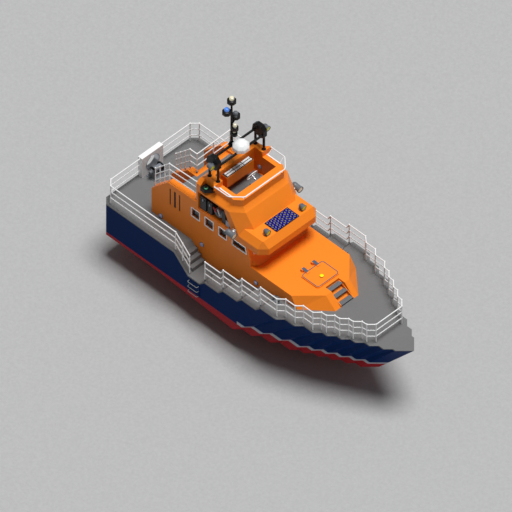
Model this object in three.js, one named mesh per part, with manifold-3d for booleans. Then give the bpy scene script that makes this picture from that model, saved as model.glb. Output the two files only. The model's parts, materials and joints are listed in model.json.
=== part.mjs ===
// All-weather lifeboat, fourteen metres long: decked hull, enclosed wheelhouse and an open upper helm.
// Millimetres, +X forward, +Y port, +Z up. The origin is amidships on the centreline, at the waterline.
import * as THREE from 'three';
import { mergeVertices } from 'three/addons/utils/BufferGeometryUtils.js';
import Module from 'manifold-3d';

const wasm = await Module();
wasm.setup();

// The boat is set out on a frame spacing. Stations run forward from the transom, breadths to port from the
// centreline and heights up from the line where the red and blue paint meet, all counted in frame spacings.
// The waterline lies half a spacing below that line. Only radii are in millimetres.
const FRAME = 250;
const LENGTH = 57;
const PAINT_LINE = 0.5;
const KEEL_DEPTH = 5.66;
const GAP = 0.3 / FRAME;
const PORT = 1;
const STARBOARD = -1;
const SIDES = [['port', PORT], ['starboard', STARBOARD]];

const COLOURS = {
  orange: [0xff8a2a, 0.45], navy: [0x0b1f4a, 0.4], red: [0x6e1418, 0.5], deck: [0x808080, 0.8],
  white: [0xf2f2f2, 0.4], black: [0x151515, 0.5], dark: [0x3a3a3a, 0.6], grey: [0x8a8f94, 0.5],
  bronze: [0xa8803c, 0.35], glass: [0x202830, 0.1], blue: [0x10107a, 0.3],
};

// Hull outline, stern to bow. Columns: station at deck height, station at the waterline, half breadth.
const DECK_HEIGHT = 7;
const OUTLINE = [
  [0, 0, 9], [1, 1, 10], [12, 12, 10],
  [37.5, 30, 10], [38.5, 31, 9], [40.5, 33, 9], [41.5, 34, 8], [43.5, 36, 8], [44.5, 37, 7],
  [45.5, 39, 7], [46.5, 40, 6], [47.5, 41, 6], [48.5, 42, 5], [49.5, 43, 5], [50.5, 44, 4],
  [51.5, 45, 4], [52.5, 46, 3], [53.5, 47, 3], [54.5, 48, 2], [55, 49, 2], [57, 51, 0],
];
// Deck edge seen from the side. Columns: station, height.
const SHEER = [
  [-2, 6], [15.5, 6], [18.5, 3], [21, 3], [22, 4], [25, 4], [26, 5], [29, 5], [30, 6], [33, 6], [34, 7],
  [60, 7],
];
const DECK_PLATE = 0.24;

// Superstructure.
const CABIN_HALF = 6.25;
const CABIN_AFT = 12.5;
const CABIN_FRONT = 28;
const CABIN_INNER = 5.9;
const CABIN_FLOOR = 6.4;
const UPPER_DECK = 14.2;
const ROOF_AFT = 16.6;
const ROOF_SEAM = 13.2;
const BROW_SEAM = 12.6;
const BROW_START = 24.2;
const BROW_TOP = 15;
const COAMING_TOP = 20.5;
const COAMING_STEP = 20.25;
const COAMING_LOW = 19.5;
const TOWER_HALF = 5.3;
const TRUNK_TOP = 9;
const WING_INNER = 5;
const TUB = { aft: 18.6, front: 23.15, half: 4.25, floor: 15.75 };
const DOOR = { inner: 0.6, outer: 3.6, top: 13.2, axisStation: 12.28, axisBreadth: 3.95 };
const HATCH = { hinge: 34.35, aft: 34.95, front: 38.8, half: 2.4, corner: 0.3 };
const WINDOW_SILL = 11.1;
// Side windows. Columns: after edge, fore edge at the sill and at the top, height of the top.
const SIDE_WINDOWS = [
  [15.55, 17.3, 17.3, 12.9], [18.45, 20.25, 20.25, 12.9], [21.4, 23.1, 23.1, 12.9],
  [24.3, 27.4, 27.05, 12.4],
];
// Vents in the aft wings. Columns: station, half width.
const VENTS = [[11, 0.125], [12, 0.2], [13, 0.125]];

// Running gear, one set on each side.
const SHAFT = { breadth: 5, aft: 3.1, aftHeight: -3.75, front: 12.5, frontHeight: -2.55, radius: 40 };
const RUDDER = { station: 1.35, breadth: 5, stockRadius: 45 };

// Towing winch: its drum lies across the deck between two cheeks. The drum's radii are in millimetres.
const WINCH = { station: 2.1, breadth: -0.2, height: 7.5, half: 1, disc: 180, rope: 105, flange: 24 };

// Engines, inside the hull.
const ENGINES = { stations: [7.6, 15.2], breadths: [-3.6, 3.6], heights: [0.6 + GAP, 5.2] };

// Helms. A console's after and fore station, starboard and port breadth, lowest and highest. A wheel's middle
// and its radius in millimetres. The wheels face aft and this far upwards.
const WHEEL_TILT = (25 * Math.PI) / 180;
const UPPER_CONSOLE = [22.35, TUB.front - GAP, -0.8, 1.8, TUB.floor + 0.1 + GAP, 19.1];
const UPPER_WHEEL = { middle: [21.95, 0.6, 19.05], radius: 250 };
const LOWER_CONSOLE = [25.7, 27.1, -4.6, 4.6, CABIN_FLOOR + GAP, 10.2];
const LOWER_WHEEL = { middle: [25.3, -2.6, 9.6], radius: 190 };

// Mast arch.
const ARCH = { aft: 18.1, front: 19.9, half: 4.9, beam: 23.7 };

// Rails: the radius of their tubes in mm, and the height from bar to bar.
const RAIL_RADIUS = 19;
const RAIL_STEP = 1.25;

// Shapes to solids and back.

function toSolid(geometry) {
  const bare = new THREE.BufferGeometry();
  bare.setAttribute('position', geometry.getAttribute('position'));
  bare.setIndex(geometry.getIndex());
  const merged = mergeVertices(bare, 0.01);
  const corners = Array.from(merged.getIndex().array);
  const kept = [];
  for (let i = 0; i < corners.length; i += 3) {
    const [a, b, c] = corners.slice(i, i + 3);
    if (a !== b && b !== c && c !== a) kept.push(a, b, c);
  }
  const vertProperties = new Float32Array(merged.getAttribute('position').array);
  const triVerts = new Uint32Array(kept);
  return new wasm.Manifold(new wasm.Mesh({ numProp: 3, vertProperties, triVerts }));
}

function toGeometry(solid) {
  const mesh = solid.getMesh();
  const geometry = new THREE.BufferGeometry();
  geometry.setAttribute('position', new THREE.BufferAttribute(new Float32Array(mesh.vertProperties), 3));
  geometry.setIndex(Array.from(mesh.triVerts));
  geometry.computeVertexNormals();
  return geometry;
}

function lifted(solid, frames) {
  return toSolid(toGeometry(solid).translate(0, 0, frames * FRAME));
}

const joined = (solids) => solids.reduce((whole, solid) => whole.add(solid));

function extruded(points, from, to, pose) {
  const shape = new THREE.Shape(points.map(([a, b]) => new THREE.Vector2(a * FRAME, b * FRAME)));
  const depth = (to - from) * FRAME;
  const geometry = new THREE.ExtrudeGeometry(shape, { depth, bevelEnabled: false });
  return toSolid(geometry.applyMatrix4(pose));
}

// An outline in stations and breadths, from one height to another.
function plan(points, low, high) {
  return extruded(points, low, high, new THREE.Matrix4().makeTranslation(0, 0, low * FRAME));
}

// An outline in stations and heights, from one breadth to another, the smaller first.
function profile(points, near, far) {
  const turn = new THREE.Matrix4().makeRotationX(Math.PI / 2);
  const move = new THREE.Matrix4().makeTranslation(0, far * FRAME, 0);
  return extruded(points, near, far, move.multiply(turn));
}

// An outline in breadths and heights, from one station to another.
function section(points, aft, front) {
  const axes = [new THREE.Vector3(0, 1, 0), new THREE.Vector3(0, 0, 1), new THREE.Vector3(1, 0, 0)];
  return extruded(points, aft, front, new THREE.Matrix4().makeBasis(...axes).setPosition(aft * FRAME, 0, 0));
}

function bothSides(make) {
  return joined([make(PORT), make(STARBOARD)]);
}

// A profile between two breadths of one side of the boat.
function sideProfile(points, side, inner, outer) {
  return side > 0 ? profile(points, inner, outer) : profile(points, -outer, -inner);
}

function block([aft, front], [right, left], [low, high]) {
  const geometry = new THREE.BoxGeometry((front - aft) * FRAME, (left - right) * FRAME, (high - low) * FRAME);
  geometry.translate(((aft + front) / 2) * FRAME, ((right + left) / 2) * FRAME, ((low + high) / 2) * FRAME);
  return toSolid(geometry);
}

function sideBlock(stations, side, [inner, outer], heights) {
  return block(stations, side > 0 ? [inner, outer] : [-outer, -inner], heights);
}

function place([station, breadth, height]) {
  return new THREE.Vector3(station * FRAME, breadth * FRAME, height * FRAME);
}

// A round bar between two points, its radii in millimetres.
function bar(from, to, radius, sides = 6, endRadius = radius) {
  const start = place(from);
  const along = place(to).sub(start);
  const geometry = new THREE.CylinderGeometry(endRadius, radius, along.length(), sides);
  geometry.translate(0, along.length() / 2, 0);
  geometry.applyQuaternion(
    new THREE.Quaternion().setFromUnitVectors(new THREE.Vector3(0, 1, 0), along.clone().normalize()),
  );
  return toSolid(geometry.translate(start.x, start.y, start.z));
}

// A body of revolution about the axis from one point towards another. Rows: distance along it, radius, in mm.
function turned(from, to, rows, sides = 16) {
  const start = place(from);
  const axis = place(to).sub(start).normalize();
  const points = rows.map(([along, radius]) => new THREE.Vector2(radius, along));
  const geometry = new THREE.LatheGeometry(points, sides);
  geometry.applyQuaternion(new THREE.Quaternion().setFromUnitVectors(new THREE.Vector3(0, 1, 0), axis));
  return toSolid(geometry.translate(start.x, start.y, start.z));
}

// A four-sided bar that follows a line of points, mitred at each.
function handrail(points, radius = RAIL_RADIUS) {
  const line = points.map(place);
  const up = new THREE.Vector3(0, 0, 1);
  const positions = [];
  line.forEach((point, i) => {
    const before = point.clone().sub(line[Math.max(i - 1, 0)]).normalize();
    const after = line[Math.min(i + 1, line.length - 1)].clone().sub(point).normalize();
    const tangent = before.add(after).normalize();
    const across = new THREE.Vector3().crossVectors(tangent, up).normalize();
    const over = new THREE.Vector3().crossVectors(across, tangent);
    for (const [a, b] of [[1, 0], [0, -1], [-1, 0], [0, 1]]) {
      const corner = point.clone().addScaledVector(across, a * radius).addScaledVector(over, b * radius);
      positions.push(corner.x, corner.y, corner.z);
    }
  });
  const faces = [];
  for (let i = 0; i < line.length - 1; i += 1) {
    for (let k = 0; k < 4; k += 1) {
      const [a, b] = [i * 4 + k, i * 4 + ((k + 1) % 4)];
      faces.push(a, b, a + 4, b, b + 4, a + 4);
    }
  }
  const last = (line.length - 1) * 4;
  faces.push(0, 2, 1, 0, 3, 2, last, last + 1, last + 2, last, last + 2, last + 3);
  return meshSolid(positions, faces);
}

function meshSolid(positions, faces) {
  const geometry = new THREE.BufferGeometry();
  geometry.setAttribute('position', new THREE.BufferAttribute(new Float32Array(positions), 3));
  geometry.setIndex(faces);
  return toSolid(geometry);
}

// A solid through closed rings of as many points each, lowest ring first, each anticlockwise from above.
function loft(rings) {
  const count = rings[0].length;
  const corners = rings.flat().map(place);
  const positions = corners.flatMap((corner) => corner.toArray());
  const faces = [];
  for (let i = 0; i < rings.length - 1; i += 1) {
    for (let j = 0; j < count; j += 1) {
      const [a, b] = [i * count + j, i * count + ((j + 1) % count)];
      const [c, d] = [b + count, a + count];
      // The shorter diagonal, so that port and starboard are split alike.
      const keep = corners[a].distanceTo(corners[c]) <= corners[b].distanceTo(corners[d]);
      faces.push(...(keep ? [a, b, c, a, c, d] : [a, b, d, b, c, d]));
    }
  }
  const flat = (ring) => ring.map(([x, y]) => new THREE.Vector2(x, y));
  for (const [a, b, c] of THREE.ShapeUtils.triangulateShape(flat(rings[0]), [])) faces.push(a, c, b);
  const top = (rings.length - 1) * count;
  for (const [a, b, c] of THREE.ShapeUtils.triangulateShape(flat(rings.at(-1)), [])) {
    faces.push(top + a, top + b, top + c);
  }
  return meshSolid(positions, faces);
}

// A whole ring from its port half, stern to bow.
function mirrored(half) {
  const starboard = half.filter(([, y]) => y > 0).map(([x, y, z]) => [x, -y, z]);
  return [...starboard, ...half.toReversed()];
}

// The hull.

const rakeAt = (row, height) => row[1] + ((row[0] - row[1]) * height) / DECK_HEIGHT;

function hullRing(height) {
  return mirrored(OUTLINE.map((row) => [rakeAt(row, height), row[2], height]));
}

function chineRing() {
  const [flatDepth, rakedDepth] = [-0.6, -1.7];
  return mirrored(OUTLINE.map((row) => {
    const depth = row[0] > row[1] ? rakedDepth : flatDepth;
    return [rakeAt(row, depth), row[2], depth];
  }));
}

function keelHeight(station) {
  if (station < 12) return -2.4 - (1.6 * station) / 12;
  return station < 36 ? -4 : -4 + (station - 36) * 0.14;
}

function keelRing() {
  const [halfBreadth, pullBack] = [0.5, 0.88];
  return mirrored(OUTLINE.map((row) => {
    const station = rakeAt(row, -1.7) * (row[0] > row[1] ? pullBack : 1);
    return [station, row[2] > 0 ? halfBreadth : 0, keelHeight(station)];
  }));
}

const hullSides = loft([hullRing(GAP), hullRing(DECK_HEIGHT + 0.5)]);

function underSheer(offset) {
  const edge = SHEER.map(([station, height]) => [station, height + offset]);
  return profile([[-2, -8], [60, -8], ...edge.toReversed()], -12, 12);
}

const hatchway = block([HATCH.aft + 0.5, HATCH.front - 0.5], [-2, 2], [2.5, 12]);

function hullBottom() {
  const keel = profile([[9, -3.4], [14, -KEEL_DEPTH], [34, -KEEL_DEPTH], [40, -3.4]], -0.3, 0.3);
  const bilgeKeel = (side) => sideProfile([[15, -1.6], [16, -3.2], [26, -3.2], [27, -1.6]], side, 6.4, 6.6);
  const bores = SIDES.flatMap(([, side]) => [
    shaftBar(side, SHAFT.radius / Math.cos(Math.PI / 24) + 0.8, 0.02),
    bar([RUDDER.station, side * RUDDER.breadth, -4], [RUDDER.station, side * RUDDER.breadth, -0.9],
      RUDDER.stockRadius / Math.cos(Math.PI / 24) + 0.6, 24),
  ]);
  const shell = loft([keelRing(), chineRing(), hullRing(0)]);
  return joined([shell, keel, bothSides(bilgeKeel)]).subtract(joined(bores));
}

function topsides() {
  const engineRoom = block([7.4, 15.4], [-3.8, 3.8], [0.6, 7]);
  return hullSides.intersect(underSheer(-DECK_PLATE - GAP)).subtract(hatchway.add(engineRoom));
}

function deck() {
  const plate = hullSides.intersect(underSheer(0)).subtract(underSheer(-DECK_PLATE));
  const treads = [
    [16.25, 5.25], [17, 5.25], [17, 4.5], [17.75, 4.5], [17.75, 3.75], [18.5, 3.75], [18.5, 2.9],
    [16.15, 5.25],
  ];
  const steps = bothSides((side) => sideProfile(treads, side, CABIN_HALF + 0.1, 9));
  return plate.add(steps).subtract(hatchway);
}

// The running gear.

function shaftBar(side, radius, beyond = 0) {
  return bar(shaftPoint(side, SHAFT.aft), shaftPoint(side, SHAFT.front + beyond), radius, 24);
}

const shaftSlope = new THREE.Vector3(
  SHAFT.front - SHAFT.aft, 0, SHAFT.frontHeight - SHAFT.aftHeight,
).normalize();

function shaftPoint(side, station) {
  const run = (station - SHAFT.aft) / shaftSlope.x;
  return [station, side * SHAFT.breadth, SHAFT.aftHeight + run * shaftSlope.z];
}

// Four twisted blades on a hub, with the shaft that drives them.
function propeller(side) {
  const hubRows = [[0, 0], [0, 50], [60, 78], [210, 78], [240, 0]];
  const hub = turned(shaftPoint(side, 3), shaftPoint(side, 4), hubRows);
  const blades = [0, 1, 2, 3].map((k) => {
    const outline = new THREE.Shape();
    outline.moveTo(-35, 50);
    outline.quadraticCurveTo(-150, 220, -60, 330);
    outline.quadraticCurveTo(0, 370, 60, 330);
    outline.quadraticCurveTo(150, 220, 35, 50);
    const blade = new THREE.ExtrudeGeometry(outline, { depth: 16, bevelEnabled: false, curveSegments: 3 });
    blade.translate(0, 0, -8);
    blade.applyMatrix4(new THREE.Matrix4().makeRotationY(side * 0.6));
    blade.applyMatrix4(new THREE.Matrix4().makeRotationZ((k * Math.PI) / 2));
    blade.applyQuaternion(new THREE.Quaternion().setFromUnitVectors(new THREE.Vector3(0, 0, 1), shaftSlope));
    const centre = place(shaftPoint(side, 3.5));
    return toSolid(blade.translate(centre.x, centre.y, centre.z));
  });
  return joined([hub, shaftBar(side, SHAFT.radius), ...blades]);
}

function shaftBracket(side) {
  const inner = SHAFT.radius / Math.cos(Math.PI / 24) + 0.4;
  const barrel = bar(shaftPoint(side, 4.9), shaftPoint(side, 5.9), 75, 16);
  const y = side * SHAFT.breadth;
  const strut = block([5.1, 5.7], [y - 0.08, y + 0.08], [-3.4, -1.4]);
  const bore = bar(shaftPoint(side, 4), shaftPoint(side, 7), inner, 24);
  return barrel.add(strut).subtract(bore).subtract(lifted(hullBottom(), -GAP));
}

function rudder(side) {
  const y = side * RUDDER.breadth;
  const blade = plan([
    [0.35, y], [0.7, y - 0.1], [1.35, y - 0.24], [1.95, y - 0.2], [2.15, y], [1.95, y + 0.2],
    [1.35, y + 0.24], [0.7, y + 0.1],
  ], -5, -2.75);
  return blade.add(bar([RUDDER.station, y, -3], [RUDDER.station, y, -1], RUDDER.stockRadius, 24));
}

// The rails.

// Three bars over posts. Rows of the path and the posts: station, breadth, deck height. What the rail stands
// on trims the feet of the posts, which start a little below the deck.
function guardRail(path, side, posts, standsOn, below = 0.6) {
  const bars = [1, 2, 3].map((n) => handrail(path.map(([x, y, z]) => [x, y * side, z + n * RAIL_STEP])));
  const uprights = posts.map(([x, y, z]) => bar(
    [x, y * side, z - below], [x, y * side, z + 3 * RAIL_STEP], RAIL_RADIUS + 3, 4,
  ));
  return joined([...bars, ...uprights]).subtract(standsOn);
}

function aftRail(side) {
  const path = [
    [0.5, 2.25 + GAP, 6], [0.5, 8.5, 6], [1.5, 9.5, 6], [15.4, 9.5, 6], [16.9, 9.5, 4.6], [18.4, 9.5, 3.1],
  ];
  return guardRail(path, side, path.slice(1), underSheer(GAP));
}

function foreRail(side) {
  const raised = [
    [21.7, 9.5, 4], [25.1, 9.5, 4], [25.6, 9.5, 5], [29.1, 9.5, 5], [29.6, 9.5, 6], [33.1, 9.5, 6],
    [33.6, 9.5, 7],
  ];
  const bow = [
    [37.1, 9.5, 7], [38.1, 8.6, 7], [40.1, 8.6, 7], [41, 7.7, 7], [43, 7.7, 7], [43.9, 6.75, 7],
    [44.9, 6.7, 7], [45.8, 5.8, 7], [46.8, 5.75, 7], [47.8, 4.8, 7], [48.7, 4.75, 7], [49.65, 3.8, 7],
    [50.6, 3.75, 7], [51.6, 2.75, 7],
  ];
  const centre = [51.6, GAP, 7];
  const posts = [...raised.filter((row, i) => i % 2 === 0), ...bow];
  return guardRail([...raised, ...bow, centre], side, posts, underSheer(GAP));
}

function upperRail(side, standsOn) {
  const foot = lifted(standsOn, GAP);
  if (side < 0) {
    const path = [[7.4, 5.8, 11.4], [10.4, 5.8, 14.5], [16.2, 5.8, 14.75]];
    return guardRail(path, side, [...path, [8.4, 5.8, 12.4], [9.4, 5.8, 13.4]], foot, 0.4);
  }
  const path = [
    [7.4, -1.4, 11.4], [10.4, -1.4, 14.5], [11.9, -1.4, 14.5], [11.9, 5.7, 14.7], [16.2, 5.7, 14.75],
  ];
  const posts = [...path, [8.4, -1.4, 12.4], [9.4, -1.4, 13.4], [11.9, 2.1, 14.5]];
  return guardRail(path, side, posts, foot, 0.4);
}

// The gear on deck.

function towFrame() {
  const panel = block([0.1, 1], [-2.25, 2.25], [6 + GAP, 10]);
  return panel.subtract(bar([-1, 0, 8], [2, 0, 8], 1.4 * FRAME, 24));
}

// Two cheeks on a bed, with the motor outside the starboard cheek.
function winchFrame() {
  const { station, breadth, height, half } = WINCH;
  const cheek = [
    [station - 0.8, 6.1], [station + 0.8, 6.1],
    [station + 0.3, height + 0.35], [station - 0.3, height + 0.35],
  ];
  const [right, left] = [breadth - half, breadth + half];
  return joined([
    block([station - 0.95, station + 0.95], [right - 0.35, left + 0.35], [6 + GAP, 6.12]),
    profile(cheek, right - 0.1, right),
    profile(cheek, left, left + 0.1),
    bar([station, right - 0.05, height], [station, right - 0.6, height], 75, 16),
  ]);
}

function winchDrum() {
  const { station, breadth, height, half, disc, rope, flange } = WINCH;
  const length = 2 * (half - GAP) * FRAME;
  const rows = [
    [0, 0], [0, disc], [flange, disc], [flange, rope], [length - flange, rope], [length - flange, disc],
    [length, disc], [length, 0],
  ];
  return turned([station, breadth - half + GAP, height], [station, breadth + half, height], rows, 20);
}

function boardingRungs(side) {
  const heights = [0.35, 1.35, 2.35];
  const rungs = heights.map((height) => joined([
    bar([18.9, side * 10.05, height], [18.9, side * 10.55, height], 16),
    bar([18.84, side * 10.5, height], [20.96, side * 10.5, height], 16),
    bar([20.9, side * 10.55, height], [20.9, side * 10.05, height], 16),
  ]));
  const stiles = [18.9, 20.9].map((station) => sideBlock(
    [station - 0.08, station + 0.08], side, [10 + GAP, 10.08], [0.2, 2.5],
  ));
  return joined([...rungs, ...stiles]);
}

// The superstructure.

// The wall of one side, from the end of the aft wing to the raked front post.
function cabinSide(side) {
  const plate = [
    [7, 2], [7, 11], [10.5, 14.6], [ROOF_AFT - GAP, 14.75], [ROOF_AFT - GAP, ROOF_SEAM],
    [BROW_START - GAP, ROOF_SEAM], [BROW_START - GAP, BROW_SEAM], [27.6, BROW_SEAM], [CABIN_FRONT, 10.7],
    [CABIN_FRONT + 0.2, 10.36], [CABIN_FRONT + 0.2, TRUNK_TOP + GAP], [CABIN_FRONT - GAP, TRUNK_TOP + GAP],
    [CABIN_FRONT - GAP, 2],
  ];
  const wing = [
    [7, 2], [7, 11], [10.5, 14.6], [ROOF_AFT - GAP, 14.75], [ROOF_AFT - GAP, UPPER_DECK + GAP],
    [CABIN_AFT - GAP, UPPER_DECK + GAP], [CABIN_AFT - GAP, 2],
  ];
  const openings = SIDE_WINDOWS.map(([aft, low, high, top]) => profile(
    [[aft, WINDOW_SILL], [low, WINDOW_SILL], [high, top], [aft, top]], -7, 7,
  ));
  const vents = VENTS.map(([station, half]) => sideBlock(
    [station - half, station + half], side, [CABIN_HALF - 0.08, CABIN_HALF + 1], [10.2, 13.6],
  ));
  return sideProfile(plate, side, CABIN_INNER, CABIN_HALF)
    .add(sideProfile(wing, side, WING_INNER, CABIN_INNER + 0.1))
    .subtract(joined([underSheer(GAP), ...openings, ...vents]));
}

// The raised floor between the side walls.
function cabinBase() {
  return block([CABIN_AFT, CABIN_FRONT - GAP], [-CABIN_INNER + GAP, CABIN_INNER - GAP], [2, CABIN_FLOOR])
    .subtract(underSheer(GAP));
}

// The bulkhead with the doorway, the slab under the upper deck, the ledge over the door and the cheek of the
// stairs.
function cabinAftWall() {
  const floor = CABIN_FLOOR + GAP;
  const wall = profile([
    [CABIN_AFT, floor], [CABIN_AFT, UPPER_DECK], [ROOF_AFT - GAP, UPPER_DECK], [ROOF_AFT - GAP, ROOF_SEAM],
    [ROOF_AFT - 0.5, ROOF_SEAM], [ROOF_AFT - 0.5, 13.7], [CABIN_AFT + 0.5, 13.7], [CABIN_AFT + 0.5, floor],
  ], -CABIN_INNER + GAP, CABIN_INNER - GAP);
  const cheek = profile([
    [7, 6 + GAP], [7, 11], [10.5, UPPER_DECK], [CABIN_AFT + 0.1, UPPER_DECK], [CABIN_AFT + 0.1, floor],
    [CABIN_AFT - GAP, floor], [CABIN_AFT - GAP, 6 + GAP],
  ], -2, -0.9);
  const ledge = block([11.6, CABIN_AFT + 0.1], [-1, WING_INNER - GAP], [13.75, UPPER_DECK]);
  const doorway = block([12, 13.5], [DOOR.inner, DOOR.outer], [CABIN_FLOOR, DOOR.top]);
  const lugs = [7.3, 12].map((height) => bar(
    [DOOR.axisStation, DOOR.axisBreadth, height], [DOOR.axisStation, DOOR.axisBreadth, height + 0.3], 26, 12,
  ).add(block([DOOR.axisStation, CABIN_AFT + 0.1], [3.9, 4], [height, height + 0.3])));
  return joined([wall.subtract(doorway), ledge, cheek, ...lugs]);
}

// The wall under and between the windscreen panes, with the sill that slopes down to the fore trunk.
function cabinFrontWall() {
  const wall = profile([
    [27.6, CABIN_FLOOR + GAP], [27.6, 10.7], [27.2, BROW_SEAM], [27.6, BROW_SEAM], [CABIN_FRONT, 10.7],
    [CABIN_FRONT + 1, TRUNK_TOP + GAP], [CABIN_FRONT - GAP, TRUNK_TOP + GAP],
    [CABIN_FRONT - GAP, CABIN_FLOOR + GAP],
  ], -CABIN_INNER + GAP, CABIN_INNER - GAP);
  const spans = [[-5.3, -1.95], [-1.7, 1.7], [1.95, 5.3]];
  const panes = spans.map((span) => block([27, 28.5], span, [10.95, 12.35]));
  const corners = bothSides((side) => plan(
    [[28.2, side * 6], [29.3, side * 4.9], [29.3, side * 6]], TRUNK_TOP - 0.1, 11,
  ));
  return wall.subtract(joined([corners, ...panes]));
}

function aftStairs() {
  const [count, rise, run] = [11, (UPPER_DECK - 6) / 11, 0.46];
  const nosing = [];
  for (let k = 0; k < count; k += 1) {
    nosing.push([7.4 + k * run, 6 + GAP + (k + 1) * rise - (k === count - 1 ? GAP : 0)]);
    nosing.push([7.4 + (k + 1) * run, nosing.at(-1)[1]]);
  }
  const end = CABIN_AFT - GAP;
  const under = [[end, UPPER_DECK], [end, UPPER_DECK - 1], [8, 6 + GAP], [7.4, 6 + GAP]];
  return profile([...nosing.slice(0, -1), ...under], -WING_INNER + 0.02, -2.02);
}

function aftDoor() {
  const leaf = block([12.2, 12.48], [0.35, 3.82], [6.25, 13.45]);
  const window = block([12, 13], [1.2, 3], [10.6, 12.6]);
  const knuckles = [7.6 + GAP, 12.3 + GAP].map((height) => bar(
    [DOOR.axisStation, DOOR.axisBreadth, height], [DOOR.axisStation, DOOR.axisBreadth, height + 0.35], 24, 12,
  ).add(block([12.24, 12.32], [3.8, DOOR.axisBreadth], [height, height + 0.35])));
  return joined([leaf, ...knuckles]).subtract(window);
}

function wheelhouseRoof() {
  const ring = (height, half, shoulder, front, frontHalf) => mirrored([
    [ROOF_AFT, half, height], [shoulder, half, height], [front, frontHalf, height],
  ]);
  const tower = loft([
    ring(ROOF_SEAM + GAP, CABIN_HALF, 26, 27.4, 4.9),
    ring(BROW_TOP, CABIN_HALF, 25, 27.15, 4.45),
    ring(17.5, CABIN_HALF, 23.55, 25.55, 4.6),
    ring(18.2, TOWER_HALF, 23.6, 24.75, 4.4),
    ring(COAMING_TOP, TOWER_HALF, 23.6, 24.75, 4.4),
  ]);
  const buttresses = bothSides((side) => section([
    [side * 5.2, 17.3], [side * CABIN_HALF, 17.3], [side * CABIN_HALF, 18.8], [side * TOWER_HALF, 19.65],
    [side * 5.2, 19.65],
  ], ROOF_AFT, 17.5));
  const brow = loft([
    [BROW_SEAM + GAP, CABIN_HALF, [29.7, CABIN_HALF], [30.9, 5]],
    [13.8, CABIN_HALF, [29.7, CABIN_HALF], [30.9, 5]],
    [BROW_TOP, 5.4, [29.9, 5.4], [30, 5.3]],
  ].map(([height, half, corner, front]) => mirrored([
    [BROW_START, half, height], [...corner, height], [...front, height],
  ])));
  const wings = bothSides((side) => plan([
    [COAMING_STEP - 1, side * (TOWER_HALF - 0.1)], [COAMING_STEP, side * (TOWER_HALF + 0.9)],
    [COAMING_STEP, side * (TOWER_HALF - 0.1)],
  ], COAMING_LOW, COAMING_TOP));
  const tub = block([TUB.aft, TUB.front], [-TUB.half, TUB.half], [TUB.floor, 21]);
  const room = block([17.1, 26.2], [-4.3, 4.3], [BROW_SEAM - 0.2, 15.2]);
  const lockers = bothSides((side) => sideProfile(
    [[16.95, 13.6], [24.2, 13.6], [22.5, 17.2], [16.95, 17.2]], side, 4.65, 6.5,
  ));
  const quarter = profile([[16.4, 19.2], [17.9, 20.7], [16.4, 20.7]], -7, 7);
  const coamingStep = block([COAMING_STEP, 27], [-7, 7], [COAMING_LOW, 21]);
  const hollows = joined([tub, room, lockers, quarter, coamingStep]);
  return joined([tower, brow, buttresses, wings]).subtract(hollows);
}

function foreTrunk() {
  const base = mirrored([[CABIN_FRONT, CABIN_HALF, 7], [38.2, CABIN_HALF + 0.05, 7], [42.6, 2.45, 7]]);
  const top = mirrored([[CABIN_FRONT, CABIN_HALF, 9], [36.9, CABIN_HALF, 9], [40.6, 2.5, 9]]);
  const side = block([CABIN_FRONT, 36.9], [-CABIN_HALF, CABIN_HALF], [2, TRUNK_TOP]);
  const stepRecess = profile(
    [[39.3, 9.1], [39.3, 8.5], [41.6, 7.1], [41.6, 6.9], [42.9, 6.9], [42.9, 9.1]], -1.3, 1.5,
  );
  const lug = [[-0.3, TRUNK_TOP - 0.1], [-0.2, 9.42], [0.2, 9.42], [0.3, TRUNK_TOP - 0.1]];
  const lugs = [-1.45, -0.75, 0.75, 1.45].map((breadth) => profile(
    lug.map(([ahead, height]) => [HATCH.hinge + ahead, height]), breadth - 0.08, breadth + 0.08,
  ));
  return loft([base, top]).add(side)
    .subtract(joined([stepRecess, hatchway, underSheer(GAP)]))
    .add(joined(lugs));
}

function foreSteps() {
  const treads = [[39.3 + GAP, 8.61], [40.4, 7.91], [41.6, 7.21]].map(([station, height]) => block(
    [station, station + 1], [-1.2, 1.4], [height, height + 0.14],
  ));
  const outline = [
    [39.4, 8.74], [39.9, 8.74], [42.6, 7.3], [42.6, 7 + GAP], [42.2, 7 + GAP], [39.4, 8.55],
  ];
  const stringers = [-1.26, 1.34].map((breadth) => profile(outline, breadth, breadth + 0.12));
  return joined([...treads, ...stringers]).subtract(lifted(foreTrunk(), GAP));
}

function foreHatch() {
  const { hinge, aft, front, half, corner: cut } = HATCH;
  const lid = plan([
    [aft, -half + cut], [aft + cut, -half], [front - cut, -half], [front, -half + cut],
    [front, half - cut], [front - cut, half], [aft + cut, half], [aft, half - cut],
  ], TRUNK_TOP + 0.02, TRUNK_TOP + 0.2);
  const arm = [[-0.15, 9.22], [-0.08, 9.4], [0.1, 9.4], [1.2, 9.3], [1.2, 9.1], [0.55, 9.1], [0.1, 9.2]];
  const arms = [-1.1, 1.1].map((breadth) => profile(
    arm.map(([ahead, height]) => [hinge + ahead, height]), breadth - 0.27 + GAP, breadth + 0.27 - GAP,
  ));
  return joined([lid, ...arms]);
}

// The glass lies inside the walls whose openings it closes.

function sideGlass(side) {
  const inner = CABIN_INNER - GAP;
  const outline = [[15.2, 10.8], [15.2, 13.1], [24, 13.1], [24, 12.55], [27.18, 12.55], [27.55, 10.8]];
  return sideProfile(outline, side, inner - 0.06, inner);
}

function windscreen() {
  const outer = (height) => 27.6 - (0.4 * (height - 10.7)) / 1.9 - 1.5 * GAP;
  const [low, high] = [10.75, 12.5];
  return profile([
    [outer(low), low], [outer(high), high], [outer(high) - 0.06, high], [outer(low) - 0.06, low],
  ], -5.6, 5.6);
}

// The fittings.

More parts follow.
